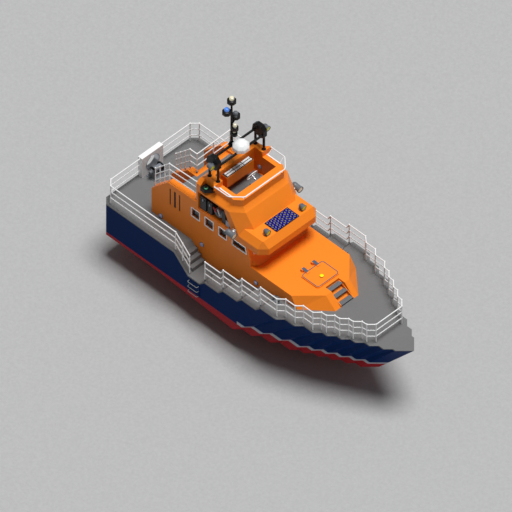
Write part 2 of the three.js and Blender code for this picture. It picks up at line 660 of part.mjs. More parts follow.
function lockerGear(side) {
  const back = 4.65 + GAP;
  const base = sideBlock([17.1, 23.8], side, [back, 6.1], [13.6 + GAP, 13.75]);
  const boxes = [
    [[17.2, 18.4], [4.8, 6.1], [13.7, 16.4]],
    [[18.7, 19.6], [4.8, 6.0], [13.7, 16.2]],
    [[21.6, 22.4], [4.8, 5.9], [13.7, 16.3]],
    [[22.9, 23.4], [4.8, 6.1], [13.7, 14.9]],
  ].map(([stations, breadths, heights]) => sideBlock(stations, side, breadths, heights));
  const reel = turned([20.6, side * 5, 14.9], [20.6, side * 6, 14.9],
    [[0, 0], [0, 200], [60, 200], [80, 130], [170, 130], [190, 200], [240, 200], [240, 0]]);
  const stand = sideBlock([20.4, 20.8], side, [5.1, 5.8], [13.7, 14.5]);
  return joined([base, reel, stand, ...boxes]);
}

function mastArch() {
  const { aft, front, half, beam } = ARCH;
  const legs = [aft, front].flatMap((station) => [-half, half].map((breadth) => bar(
    [station, breadth, COAMING_TOP + GAP], [station, breadth, 24.4], 52, 8,
  )));
  const head = [
    [17.7, 23.5], [17.9, 24.8], [18.5, 25.3], [19.6, 25.3], [20.2, 24.6], [20.2, 23.3], [19.6, 22.9],
  ];
  const heads = bothSides((side) => sideProfile(head, side, half - 0.4, half + 0.4));
  const beams = [aft, front].map((station) => bar([station, -half, beam], [station, half, beam], 50, 8));
  const tie = block([aft - 0.5, front + 0.2], [-0.5, 0.5], [beam - 0.1, beam + 0.2]);
  return joined([...legs, heads, ...beams, tie]);
}

function mast() {
  const foot = ARCH.beam + 0.2 + GAP;
  const station = 17.9;
  const pole = bar([station, 0, foot], [station, 0, 32.6], 45, 10, 32);
  const lamps = [
    [0, 0, 32.3, 190], [-0.1, -0.95, 30.5, 190], [-0.1, 0.95, 28.4, 190], [0.7, 0, 27, 150],
    [0.6, 0, 25.75, 130],
  ];
  const pods = lamps.map(([ahead, breadth, height, radius]) => {
    const middle = [station + ahead, breadth, height];
    const rows = [[0, 0], [0, radius * 0.5], [70, radius], [200, radius], [240, radius * 0.6],
      [330, radius * 0.55], [370, 0]];
    const arm = bar([station, 0, height - 0.4], [station + ahead, breadth, height + 0.2], 40, 6);
    return turned(middle, [middle[0], middle[1], height + 1], rows, 12).add(arm);
  });
  return joined([pole, ...pods]);
}

function radarDome() {
  const rows = [[0, 0], [0, 280], [60, 350], [230, 350], [360, 255], [430, 120], [440, 0]];
  return turned([ARCH.front, 0, ARCH.beam + 0.2 + GAP], [ARCH.front, 0, 30], rows, 8);
}

// A lamp housing on a short foot, looking forward.
function floodlight([station, breadth, height]) {
  const housing = turned([station - 0.5, breadth, height + 0.6], [station + 0.6, breadth, height + 0.52],
    [[0, 0], [0, 70], [60, 110], [200, 125], [240, 125], [240, 0]], 12);
  return housing.add(bar([station, breadth, height + GAP], [station, breadth, height + 0.5], 30, 8));
}

function archFloodlight(side) {
  const [station, breadth, height] = [19.3, 5.95, 24.1];
  const back = [station - 0.6, side * breadth, height];
  const ahead = [station + 1, side * breadth, height - 0.15];
  const rows = [[0, 0], [0, 70], [60, 110], [240, 130], [280, 130], [280, 0]];
  const housing = turned(back, ahead, rows, 12);
  return housing.add(sideBlock([19.1, 19.5], side, [5.3 + GAP, 5.7], [23.95, 24.25]));
}

function searchlight(side) {
  const housing = turned([23.9, side * 7.1, 14.4], [25.9, side * 7.1, 14.2],
    [[0, 0], [0, 90], [60, 125], [330, 125], [400, 145], [430, 145], [430, 0]], 12);
  return housing.add(sideBlock([24.6, 24.9], side, [CABIN_HALF + GAP, 6.9], [14.2, 14.5]));
}

// A tray on the tower's side, its fore corner cut off, with the lamp on it.
function sidelight(side) {
  const wall = TOWER_HALF + GAP;
  const outline = [[17.7, wall], [19.6, wall], [19.6, 5.5], [18.6, 6.55], [17.7, 6.55]];
  const tray = plan(outline.map(([station, breadth]) => [station, side * breadth]), 18.2, 18.85);
  const rows = [[0, 0], [0, 90], [80, 90], [100, 50], [100, 0]];
  return tray.add(turned([18.5, side * 6.1, 18.8], [18.5, side * 6.1, 20], rows, 12));
}

// A rail outside the fore part of the tub, on posts that stand on a strip along the lower coaming.
function helmRail() {
  const [from, height] = [COAMING_STEP + GAP, 20.4];
  const half = [[from, 6.05], [23.25, 6.05], [25.1, 4.3]];
  const line = [...half, ...half.map(([x, y]) => [x, -y]).reverse()];
  const posts = [[[20.6, 6.05], [20.6, 5.1]], [[23.1, 6.05], [23.1, 5.1]], [[25.1, 3.9], [24.5, 3.9]]];
  const strut = (side) => ([head, foot]) => bar(
    [head[0], side * head[1], height], [foot[0], side * foot[1], COAMING_LOW + 0.08], 15, 4,
  );
  const struts = bothSides((side) => joined(posts.map(strut(side))));
  const strips = bothSides((side) => sideBlock(
    [COAMING_STEP + 0.1, 23.3], side, [5, 5.2], [COAMING_LOW + GAP, COAMING_LOW + 0.14],
  ));
  const across = block([24.4, 24.6], [-4.1, 4.1], [COAMING_LOW + GAP, COAMING_LOW + 0.14]);
  return joined([handrail(line.map(([x, y]) => [x, y, height]), 22), struts, strips, across]);
}

// A box on the after wall of the tub, with two rows of three pads on it.
function helmBackrest() {
  const top = 19.65;
  const pads = [18.82, 19.33].flatMap((station) => [-2.7, -0.85, 1].map((breadth) => block(
    [station, station + 0.45], [breadth, breadth + 1.7], [top - 0.1, top + 0.28],
  )));
  return joined([block([TUB.aft + GAP, 19.8], [-2.85, 2.85], [17.6, top]), ...pads]);
}

// A point this far along a wheel's axis, in frame spacings.
function alongAxis([station, breadth, height], distance) {
  return [station - distance * Math.cos(WHEEL_TILT), breadth, height + distance * Math.sin(WHEEL_TILT)];
}

function helmWheel({ middle, radius }) {
  const to = alongAxis(middle, 1);
  const rows = [[60, radius], [80, radius + 20], [100, radius], [80, radius - 20], [60, radius]];
  const hub = turned(middle, to, [[40, 0], [40, 45], [90, 45], [90, 0]], 10);
  const tilt = new THREE.Quaternion().setFromUnitVectors(
    new THREE.Vector3(0, 1, 0), new THREE.Vector3(-Math.cos(WHEEL_TILT), 0, Math.sin(WHEEL_TILT)),
  );
  const root = alongAxis(middle, 65 / FRAME);
  const spokes = [0, 1, 2].map((k) => {
    const angle = (k * 2 * Math.PI) / 3;
    const tip = new THREE.Vector3(Math.cos(angle) * radius, 80, Math.sin(angle) * radius);
    tip.applyQuaternion(tilt);
    return bar(root, middle.map((value, axis) => value + tip.getComponent(axis) / FRAME), 11, 6);
  });
  return joined([turned(middle, to, rows, 16), hub, ...spokes]);
}

// A pedestal console whose sloping top carries a short steering column.
function console([aft, front, right, left, low, high], { middle }) {
  const stand = profile([
    [aft + 0.2, low], [aft, high - 0.8], [aft + 0.3, high], [front, high], [front, low],
  ], right, left);
  return stand.add(bar(alongAxis(middle, -1.1), alongAxis(middle, 40 / FRAME - GAP), 35, 10));
}

function seat([station, breadth]) {
  const floor = CABIN_FLOOR + GAP;
  return joined([
    bar([station, breadth, floor], [station, breadth, 8], 110, 10),
    block([station - 0.9, station + 0.9], [breadth - 0.9, breadth + 0.9], [7.9, 8.4]),
    profile([[station - 1.3, 11.2], [station - 1, 11.3], [station - 0.6, 8], [station - 1, 8]],
      breadth - 0.85, breadth + 0.85),
  ]);
}

// The whole boat.

function helmFloor() {
  return block([TUB.aft + 0.1, TUB.front - 0.1], [-4, 4], [TUB.floor + GAP, TUB.floor + 0.1]);
}

const cabinSides = { port: cabinSide(PORT), starboard: cabinSide(STARBOARD) };
const cabinAft = cabinAftWall();
const upperDeckFrom = (height) => block(
  [CABIN_AFT + 0.1, ROOF_AFT - 0.1], [-4.9, 4.9], [height, UPPER_DECK + 0.2],
);
const pieces = [
  ['hull_bottom', 'red', hullBottom()],
  ['hull_topsides', 'navy', topsides()],
  ['deck', 'deck', deck()],
  ['engines', 'grey', block(ENGINES.stations, ENGINES.breadths, ENGINES.heights)],
  ['tow_frame', 'white', towFrame()],
  ['winch_frame', 'grey', winchFrame()],
  ['winch_drum', 'dark', winchDrum()],
  ['cabin_base', 'orange', cabinBase()],
  ['cabin_aft_wall', 'orange', cabinAft],
  ['cabin_front_wall', 'orange', cabinFrontWall()],
  ['upper_deck', 'deck', upperDeckFrom(UPPER_DECK + GAP)],
  ['aft_stairs', 'deck', aftStairs()],
  ['aft_door', 'orange', aftDoor()],
  ['wheelhouse_roof', 'orange', wheelhouseRoof()],
  ['helm_floor', 'deck', helmFloor()],
  ['fore_trunk', 'orange', foreTrunk()],
  ['fore_steps', 'deck', foreSteps()],
  ['fore_hatch', 'orange', foreHatch()],
  ['windscreen', 'glass', windscreen()],
  ['solar_panel', 'blue', block([27.4, 29.95], [-2.4, 2.4], [BROW_TOP + GAP, BROW_TOP + 0.12])],
  ['mast_arch', 'black', mastArch()],
  ['mast', 'black', mast()],
  ['radar_dome', 'white', radarDome()],
  ['helm_rail', 'white', helmRail()],
  ['helm_backrest', 'white', helmBackrest()],
  ['upper_console', 'dark', console(UPPER_CONSOLE, UPPER_WHEEL)],
  ['upper_wheel', 'white', helmWheel(UPPER_WHEEL)],
  ['lower_console', 'dark', console(LOWER_CONSOLE, LOWER_WHEEL)],
  ['lower_wheel', 'dark', helmWheel(LOWER_WHEEL)],
];
for (const [name, side] of SIDES) {
  pieces.push(
    [`propeller_${name}`, 'bronze', propeller(side)],
    [`shaft_bracket_${name}`, 'red', shaftBracket(side)],
    [`rudder_${name}`, 'red', rudder(side)],
    [`aft_rail_${name}`, 'white', aftRail(side)],
    [`fore_rail_${name}`, 'white', foreRail(side)],
    [`cabin_side_${name}`, 'orange', cabinSides[name]],
    [`upper_rail_${name}`, 'white', upperRail(side, joined([
      cabinSides[name], cabinAft, upperDeckFrom(UPPER_DECK - 0.5),
    ]))],
    [`boarding_rungs_${name}`, 'grey', boardingRungs(side)],
    [`side_glass_${name}`, 'glass', sideGlass(side)],
    [`locker_gear_${name}`, 'dark', lockerGear(side)],
    [`brow_floodlight_${name}`, 'grey', floodlight([29.2, side * 3.8, BROW_TOP])],
    [`arch_floodlight_${name}`, 'grey', archFloodlight(side)],
    [`searchlight_${name}`, 'grey', searchlight(side)],
    [`sidelight_${name}`, 'black', sidelight(side)],
    [`seat_${name}`, 'black', seat([22.8, side * 2.6])],
  );
}

const boat = new THREE.Group();
boat.position.set((-LENGTH / 2) * FRAME, 0, PAINT_LINE * FRAME);
for (const [name, colour, solid] of pieces) {
  const [color, roughness] = COLOURS[colour];
  const metalness = colour === 'bronze' ? 1 : 0;
  const material = new THREE.MeshStandardMaterial({ color, roughness, metalness });
  const mesh = new THREE.Mesh(toGeometry(solid), material);
  mesh.name = name;
  boat.add(mesh);
}

export default boat;
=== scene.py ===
"""All-weather lifeboat: the finishes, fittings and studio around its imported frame.

Stations run forward from the transom, breadths to port of the centreline and heights up from the line where the red
and blue paint meet, all counted in frame spacings of a quarter of a metre, as on the boat's lines plan. Radii,
bends and bevels are in metres, and so is a profile, which gives distances along its axis with their radii. Every mesh
is made in metres in the boat's own frame, on an object that stays at the origin, so the patterns of the finishes run
through from one piece to the next.
"""

from __future__ import annotations

import json
import logging
import math
from dataclasses import dataclass, replace
from enum import Enum
from functools import reduce
from typing import Iterable, Sequence

import bmesh
import bpy
import numpy as np
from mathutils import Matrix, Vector

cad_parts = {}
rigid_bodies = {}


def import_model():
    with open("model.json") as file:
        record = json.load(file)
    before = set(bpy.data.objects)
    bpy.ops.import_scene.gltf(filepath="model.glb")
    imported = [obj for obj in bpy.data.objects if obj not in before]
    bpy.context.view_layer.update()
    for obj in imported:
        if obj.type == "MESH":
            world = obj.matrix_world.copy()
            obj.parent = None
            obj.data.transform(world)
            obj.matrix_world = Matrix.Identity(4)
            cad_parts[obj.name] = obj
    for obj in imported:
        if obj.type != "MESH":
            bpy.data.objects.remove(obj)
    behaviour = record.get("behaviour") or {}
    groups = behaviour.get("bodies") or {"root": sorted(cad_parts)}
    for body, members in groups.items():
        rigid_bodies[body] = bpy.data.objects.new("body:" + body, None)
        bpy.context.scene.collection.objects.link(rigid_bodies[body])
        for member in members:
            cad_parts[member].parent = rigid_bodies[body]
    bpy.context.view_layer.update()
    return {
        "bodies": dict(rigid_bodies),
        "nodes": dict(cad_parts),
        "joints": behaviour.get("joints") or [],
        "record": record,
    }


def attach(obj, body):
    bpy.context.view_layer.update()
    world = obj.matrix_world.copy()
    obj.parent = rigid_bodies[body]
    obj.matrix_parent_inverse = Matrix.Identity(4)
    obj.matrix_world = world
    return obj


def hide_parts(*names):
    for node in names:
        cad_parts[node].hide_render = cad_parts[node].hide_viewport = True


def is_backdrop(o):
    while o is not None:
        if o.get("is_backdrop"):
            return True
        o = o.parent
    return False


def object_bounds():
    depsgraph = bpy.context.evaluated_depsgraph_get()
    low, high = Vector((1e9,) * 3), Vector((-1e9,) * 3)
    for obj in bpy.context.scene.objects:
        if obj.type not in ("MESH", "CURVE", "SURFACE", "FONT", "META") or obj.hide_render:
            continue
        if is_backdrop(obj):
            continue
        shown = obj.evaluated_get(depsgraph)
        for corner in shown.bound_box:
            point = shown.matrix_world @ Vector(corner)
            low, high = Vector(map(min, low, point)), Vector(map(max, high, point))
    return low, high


LOG = logging.getLogger("lifeboat")

SPACING = 0.25
MIDSHIP = 28.5
PAINT_LINE = 0.5
AHEAD, ABEAM, UPWARD = np.eye(3)
WHEEL_TILT = math.radians(25)
WHEEL_AXIS = math.sin(WHEEL_TILT) * UPWARD - math.cos(WHEEL_TILT) * AHEAD
TINY = 1e-9

Colour = tuple[float, float, float]
Point = Sequence[float]


class Side(Enum):
    """A side of the boat, with the sign of its breadths."""

    PORT = 1
    STARBOARD = -1

    @property
    def word(self) -> str:
        """The side's name, as it ends the names of pieces and nodes."""
        return self.name.lower()


class Plane(Enum):
    """The plane of an outline: the axes of its two numbers, and the axis along which it is carried."""

    PLAN = (0, 1, 2)
    PROFILE = (0, 2, 1)
    SECTION = (1, 2, 0)


def metres(points: Sequence) -> np.ndarray:
    """Returns stations, breadths and heights in frame spacings as metres in the boat's frame."""
    return (np.asarray(points, float) + (-MIDSHIP, 0.0, PAINT_LINE)) * SPACING


def unit(vectors: Sequence) -> np.ndarray:
    """Returns the vectors, each divided by its length."""
    vectors = np.asarray(vectors, float)
    return vectors / np.maximum(np.linalg.norm(vectors, axis=-1, keepdims=True), TINY)


def least_aligned(directions: np.ndarray) -> np.ndarray:
    """Returns the reference direction that none of the directions lies along."""
    candidates = unit([(0, 0, 1), (0, 1, 0), (1, 0, 0), (1, 1, 1), (1, -1, 1)])
    worst = np.abs(np.atleast_2d(directions) @ candidates.T).max(axis=0)
    return candidates[worst.argmin()]


@dataclass(frozen=True)
class Shape:
    """A mesh held as arrays.

    Args:
        points: the points, one a row, in metres.
        blocks: arrays of faces, each with as many corners as its array has columns.
        tones: for each array of faces, which of the piece's finishes it has.
    """

    points: np.ndarray
    blocks: tuple[np.ndarray, ...]
    tones: tuple[int, ...]

    def __add__(self, other: Shape) -> Shape:
        """Returns both shapes as one."""
        shifted = tuple(block + len(self.points) for block in other.blocks)
        return Shape(np.vstack([self.points, other.points]), self.blocks + shifted, self.tones + other.tones)

    def mirrored(self) -> Shape:
        """Returns the shape on the other side of the centreline, its faces still pointing out."""
        flipped = tuple(block[:, ::-1] for block in self.blocks)
        return replace(self, points=self.points * (1, -1, 1), blocks=flipped)

    def on(self, side: Side) -> Shape:
        """Returns a shape that was made to port, on the given side."""
        return self if side is Side.PORT else self.mirrored()


def merge(shapes: Iterable[Shape]) -> Shape:
    """Returns several shapes as one."""
    return reduce(lambda whole, shape: whole + shape, shapes)


def skin(points: np.ndarray, ring: bool = False, tone: int = 0) -> Shape:
    """Covers a grid of points with faces, closed round its columns.

    Args:
        points: rows by columns by three.
        ring: the last row also joins the first, and otherwise one face closes each end.
        tone: which of the piece's finishes it has.
    """
    rows, columns = points.shape[:2]
    ids = np.arange(rows * columns).reshape(rows, columns)
    lower = ids if ring else ids[:-1]
    upper = np.roll(ids, -1, axis=0) if ring else ids[1:]
    corners = (lower, np.roll(lower, -1, axis=1), np.roll(upper, -1, axis=1), upper)
    quads = np.stack(corners, axis=-1).reshape(-1, 4)
    blocks = (quads,) if ring else (quads, ids[:1, ::-1], ids[-1:])
    return Shape(points.reshape(-1, 3), blocks, (tone,) * len(blocks))


def rounded(points: Sequence, radius: float, closed: bool = False, steps: int = 4) -> np.ndarray:
    """Rounds the corners of a line of points.

    Each corner gives way to the parabola that leaves and meets its two sides at the radius from it, or at under half
    of a short side: point(t) = (1-t)² start + 2t(1-t) corner + t² end.

    Args:
        points: the line's corners, in metres.
        radius: how far from its corner each bend starts, in metres.
        closed: whether the line runs back to its start.
        steps: how many pieces each bend has.

    Returns:
        The points of the rounded line.
    """
    points = np.asarray(points, float)
    corners = points if closed else points[1:-1]
    before = np.roll(points, 1, axis=0) if closed else points[:-2]
    after = np.roll(points, -1, axis=0) if closed else points[2:]
    to_before, to_after = before - corners, after - corners
    lengths = np.linalg.norm([to_before, to_after], axis=-1, keepdims=True)
    start_cut, end_cut = np.minimum(radius, 0.48 * lengths)
    start = corners + unit(to_before) * start_cut
    end = corners + unit(to_after) * end_cut
    t = np.linspace(0, 1, steps + 1)[None, :, None]
    bends = (1 - t) ** 2 * start[:, None] + 2 * t * (1 - t) * corners[:, None] + t**2 * end[:, None]
    bends = bends.reshape(-1, 3)
    return bends if closed else np.vstack([points[:1], bends, points[-1:]])


def sweep(path: np.ndarray, section: Sequence, over: Point | None = None, closed: bool = False, tone: int = 0) -> Shape:
    """Carries a section along a path.

    Each point of the surface is the path's point, plus the section's first number across the path and its second
    number along the over direction. At a bend the first number is stretched by one over the cosine of half the turn,
    as in a mitre.

    Args:
        path: the path's points, in metres.
        section: the outline's pairs of numbers, in metres.
        over: the direction of the section's second number, or one that suits the path if none is given.
        closed: whether the path runs back to its start.
        tone: which of the piece's finishes it has.
    """
    path, section = np.asarray(path, float), np.asarray(section, float)
    ahead = unit(np.roll(path, -1, axis=0) - path)
    behind = np.roll(ahead, 1, axis=0)
    if not closed:
        ahead[-1] = ahead[-2]
        behind[0] = ahead[0]
    along = unit(ahead + behind)
    stretch = 1 / np.maximum((along * ahead).sum(axis=-1, keepdims=True), 0.5)
    reference = least_aligned(along) if over is None else unit(over)
    across = unit(np.cross(along, reference))
    upward = np.cross(across, along)
    points = (
        path[:, None]
        + section[None, :, :1] * (across * stretch)[:, None]
        + section[None, :, 1:] * upward[:, None]
    )
    return skin(points, ring=closed, tone=tone)


def circle(radius: float, sides: int, start: float = 0.0) -> np.ndarray:
    """Returns a circle's points about the origin: radius times the cosine and the sine of even steps from a start."""
    angle = (np.arange(sides) + start) * 2 * np.pi / sides
    return radius * np.stack([np.cos(angle), np.sin(angle)], axis=-1)


def tube(points: Sequence, radius: float, sides: int = 10, bend: float = 0.0, tone: int = 0) -> Shape:
    """Makes a round tube along a line of points in metres, its corners bent to the given radius."""
    path = rounded(points, bend) if bend > 0 else points
    return sweep(path, circle(radius, sides), tone=tone)


def lathe(rows: Sequence, foot: Point, axis: Point, sides: int = 28, tone: int = 0) -> Shape:
    """Turns a profile about an axis.

    Args:
        rows: distance along the axis and radius, in metres, from one end to the other.
        foot: where the axis starts, in metres.
        axis: the axis's direction.
        sides: how many sides the surface has.
        tone: which of the piece's finishes it has.
    """
    rows, axis = np.asarray(rows, float), unit(axis)
    across = unit(np.cross(axis, least_aligned(axis)))
    around = circle(1.0, sides, 0.5)
    ring = around[:, :1] * across + around[:, 1:] * np.cross(axis, across)
    points = np.asarray(foot, float) + rows[:, 0, None, None] * axis + rows[:, 1, None, None] * ring
    return skin(points, tone=tone)


def prism(outline: Sequence, low: float, high: float, plane: Plane = Plane.PLAN, tone: int = 0) -> Shape:
    """Carries an outline straight from one place to another, all in frame spacings.

    Args:
        outline: the outline's pairs of numbers, on the plane's first two axes.
        low: where it starts on the plane's third axis.
        high: where it ends.
        plane: which plane the outline lies in.
        tone: which of the piece's finishes it has.
    """
    outline = np.asarray(outline, float)
    points = np.empty((2, len(outline), 3))
    points[..., plane.value[0]] = outline[:, 0]
    points[..., plane.value[1]] = outline[:, 1]
    points[..., plane.value[2]] = np.array([[low], [high]])
    return skin(metres(points), tone=tone)


def block(stations: Point, breadths: Point, heights: Point, tone: int = 0) -> Shape:
    """Makes a rectangular block between pairs of stations, breadths and heights in frame spacings."""
    (aft, front), (right, left) = stations, breadths
    return prism([(aft, right), (front, right), (front, left), (aft, left)], heights[0], heights[1], tone=tone)


def flat_bar(width: float, depth: float) -> list[Point]:
    """Returns the section of a flat bar about its middle."""
    x, y = width / 2, depth / 2
    return [(-x, -y), (x, -y), (x, y), (-x, y)]


def outlined(corners: Sequence, over: Point, width: float, depth: float, bend: float = 0.02) -> Shape:
    """Makes a flat frame round a flat outline of corners in frame spacings, its width, depth and bend in metres."""
    return sweep(rounded(metres(corners), bend, closed=True), flat_bar(width, depth), over, closed=True)


def seen(red: float, green: float, blue: float) -> Colour:
    """Returns the linear colour of a paint that shows on a screen as the given one in full light."""
    shown = np.array((red, green, blue))
    linear = np.where(shown <= 0.04045, shown / 12.92, ((shown + 0.055) / 1.055) ** 2.4)
    return tuple(float(value) for value in linear)


class Signal:
    """A shader socket that takes part in Python expressions. Each operator adds one Math node."""

    def __init__(self, sheet: Sheet, socket: bpy.types.NodeSocket) -> None:
        """Wraps a socket of a sheet."""
        self.sheet = sheet
        self.socket = socket

    def _math(self, operation: str, *values: Signal | float) -> Signal:
        """Returns the result of a Math node."""
        return self.sheet.node("ShaderNodeMath", {"operation": operation}, dict(enumerate(values)))

    def __add__(self, other: Signal | float) -> Signal:
        """Returns the sum."""
        return self._math("ADD", self, other)

    __radd__ = __add__

    def __sub__(self, other: Signal | float) -> Signal:
        """Returns the difference."""
        return self._math("SUBTRACT", self, other)

    def __rsub__(self, other: Signal | float) -> Signal:
        """Returns the difference from a number."""
        return self._math("SUBTRACT", other, self)

    def __mul__(self, other: Signal | float) -> Signal:
        """Returns the product."""
        return self._math("MULTIPLY", self, other)

    __rmul__ = __mul__

    def __truediv__(self, other: Signal | float) -> Signal:
        """Returns the quotient."""
        return self._math("DIVIDE", self, other)

    def __gt__(self, other: Signal | float) -> Signal:
        """Returns one where the signal is above the other, and nought elsewhere."""
        return self._math("GREATER_THAN", self, other)

    def __lt__(self, other: Signal | float) -> Signal:
        """Returns one where the signal is below the other, and nought elsewhere."""
        return self._math("LESS_THAN", self, other)

    def sine(self) -> Signal:
        """Returns the sine of the signal in radians."""
        return self._math("SINE", self)

    def fraction(self) -> Signal:
        """Returns what is left of the signal above the whole number under it."""
        return self._math("FRACT", self)

    def floor(self) -> Signal:
        """Returns the whole number under the signal."""
        return self._math("FLOOR", self)

    def size(self) -> Signal:
        """Returns the signal without its sign."""
        return self._math("ABSOLUTE", self)


class Sheet:
    """The node sheet of one material, with the boat's own coordinates at hand."""

    def __init__(self, name: str) -> None:
        """Starts an empty sheet for a material of that name."""
        self.material = bpy.data.materials.new(name)
        self.material.use_nodes = True
        self.tree = self.material.node_tree
        self.tree.nodes.clear()
        self.place = self.node("ShaderNodeTexCoord", output="Object")

    def node(self, kind: str, settings: dict | None = None, inputs: dict | None = None,
             output: int | str = 0) -> Signal:
        """Adds a node.

        Args:
            kind: the node's type.
            settings: its properties, set first, with a ramp's stops as position and colour pairs under "stops".
            inputs: for each socket's name or number, a value or a signal.
            output: the socket that is returned.

        Returns:
            The signal of the output socket.
        """
        made = self.tree.nodes.new(kind)
        for name, value in (settings or {}).items():
            if name == "stops":
                self._set_stops(made.color_ramp, value)
            else:
                setattr(made, name, value)
        for name, value in (inputs or {}).items():
            if isinstance(value, Signal):
                self.tree.links.new(value.socket, made.inputs[name])
            else:
                made.inputs[name].default_value = value
        return Signal(self, made.outputs[output])

    @staticmethod
    def _set_stops(ramp: bpy.types.ColorRamp, stops: Sequence) -> None:
        """Gives a ramp its stops."""
        while len(ramp.elements) < len(stops):
            ramp.elements.new(0.5)
        for element, (position, colour) in zip(ramp.elements, stops):
            element.position = position
            element.color = (*colour, 1.0)

    def axes(self) -> list[Signal]:
        """Returns the signals of X, Y and Z in the boat's frame, in metres."""
        split = self.node("ShaderNodeSeparateXYZ", inputs={0: self.place})
        return [Signal(self, socket) for socket in split.socket.node.outputs]

    def noise(self, scale: float, detail: float = 3.0, stretch: Point = (1.0, 1.0, 1.0)) -> Signal:
        """Returns cloudy noise from nought to one, stretched by the given factors of X, Y and Z."""
        place = self.node("ShaderNodeMapping", inputs={"Vector": self.place, "Scale": tuple(stretch)})
        return self.node("ShaderNodeTexNoise", inputs={"Vector": place, "Scale": scale, "Detail": detail})

    def cells(self, scale: float, stretch: Point = (1.0, 1.0, 1.0)) -> Signal:
        """Returns the distance to the nearest of many scattered points."""
        place = self.node("ShaderNodeMapping", inputs={"Vector": self.place, "Scale": tuple(stretch)})
        return self.node("ShaderNodeTexVoronoi", inputs={"Vector": place, "Scale": scale}, output="Distance")

    def mix(self, factor: Signal | float, first: Colour | Signal, second: Colour | Signal, how: str = "MIX") -> Signal:
        """Returns two colours, mixed by a factor."""
        settings = {"data_type": "RGBA", "blend_type": how}
        ends = [value if isinstance(value, Signal) else (*value, 1.0) for value in (first, second)]
        return self.node("ShaderNodeMix", settings, {0: factor, 6: ends[0], 7: ends[1]}, output=2)

    def scaled(self, colour: Colour | Signal, tone: Signal) -> Signal:
        """Returns a colour made lighter or darker by a signal about one."""
        return self.mix(1.0, colour, tone, "MULTIPLY")

    def close(self, colour: Signal | Colour, roughness: Signal | float, height: Signal, relief: float,
              **fixed: float | Signal) -> None:
        """Ends the sheet in one surface shader.

        Args:
            colour: the base colour.
            roughness: the roughness.
            height: the relief's shape, from nought to one.
            relief: the relief's height in metres.
            fixed: values of the shader's other sockets, their names with underscores for spaces.
        """
        bump = self.node("ShaderNodeBump", inputs={"Height": height, "Strength": 1.0, "Distance": relief})
        base = colour if isinstance(colour, Signal) else (*colour, 1.0)
        inputs = {"Base Color": base, "Roughness": roughness, "Normal": bump}
        inputs.update({name.replace("_", " "): value for name, value in fixed.items()})
        shader = self.node("ShaderNodeBsdfPrincipled", inputs=inputs)
        end = self.tree.nodes.new("ShaderNodeOutputMaterial")
        self.tree.links.new(shader.socket, end.inputs["Surface"])


@dataclass(frozen=True)
class Finish:
    """A surface finish.

    Args:
        name: the material's name.
        slot: the record's material slot that it belongs to; not used.
        colour: its main colour, linear.
    """

    name: str
    slot: str
    colour: Colour

    def lay(self, sheet: Sheet) -> None:
        """Lays the finish out on a sheet."""
        raise NotImplementedError

    def material(self) -> bpy.types.Material:
        """Returns the finish's material, made when it is first asked for."""
        found = bpy.data.materials.get(self.name)
        if found is None:
            sheet = Sheet(self.name)
            self.lay(sheet)
            found = sheet.material
        return found


@dataclass(frozen=True)
class Paint(Finish):
    """Sprayed paint with a faint orange peel, slight fading in clouds and thin rain streaks.

    Args:
        roughness: the mean roughness.
        coat: the weight of the clear coat.
        fading: how far the colour drifts in the clouds.
        streaks: how strong the rain streaks are.
        mirror: the level of the paint's own reflections under the coat.
    """

    roughness: float = 0.38
    coat: float = 0.2
    fading: float = 0.07
    streaks: float = 0.05
    mirror: float = 0.4

    def base(self, sheet: Sheet) -> Signal:
        """Returns the paint's colour before fading and streaks."""
        return sheet.mix(0.0, self.colour, self.colour)

    def lay(self, sheet: Sheet) -> None:
        """Fading comes from slow noise, streaks from noise drawn out in height, and the peel from fine noise."""
        clouds, speckle = sheet.noise(1.1, 4.0), sheet.noise(46.0, 2.0)
        streaks = sheet.noise(1.0, 4.0, (11.0, 11.0, 0.8))
        tone = 1.0 + (clouds - 0.5) * self.fading + (streaks - 0.5) * self.streaks + (speckle - 0.5) * 0.03
        roughness = self.roughness + (speckle - 0.5) * 0.12 + (clouds - 0.5) * 0.1
        peel = sheet.noise(210.0, 2.0)
        sheet.close(sheet.scaled(self.base(sheet), tone), roughness, peel, 0.0006,
                    Coat_Weight=self.coat, Coat_Roughness=0.12, Specular_IOR_Level=self.mirror)


@dataclass(frozen=True)
class TopsidePaint(Paint):
    """The hull's side paint, with a white band over the red bottom on the fore body, greyed with painted shade.

    Args:
        band_colour: the band's colour, a light grey: the white with painted shade.
        band_top: the band's upper edge, a height in frame spacings.
        band_start: the station where it starts.
    """

    band_colour: Colour = (0.8, 0.8, 0.8)
    band_top: float = 0.6
    band_start: float = 29.0

    def base(self, sheet: Sheet) -> Signal:
        """The band shows where the height is under its edge and the station is ahead of its start."""
        x, _, z = sheet.axes()
        start, _, top = metres((self.band_start, 0.0, self.band_top))
        return sheet.mix((z < float(top)) * (x > float(start)), self.colour, self.band_colour)


@dataclass(frozen=True)
class NonSlip(Finish):
    """Deck paint with grit in it, worn a little paler and smoother in clouds.

    Args:
        grit: grains to the metre.
        relief: how high the grains stand, in metres.
    """

    grit: float = 190.0
    relief: float = 0.0016

    def lay(self, sheet: Sheet) -> None:
        """The grains are the cells of scattered points, and the wear is slow noise."""
        wear, dirt = sheet.noise(0.8, 5.0), sheet.noise(7.0, 4.0)
        grains = sheet.cells(self.grit)
        tone = 0.96 + (wear - 0.5) * 0.12 + (dirt - 0.5) * 0.1 + grains * 0.06
        sheet.close(sheet.scaled(self.colour, tone), 0.72 + (wear - 0.5) * 0.2, grains, self.relief)


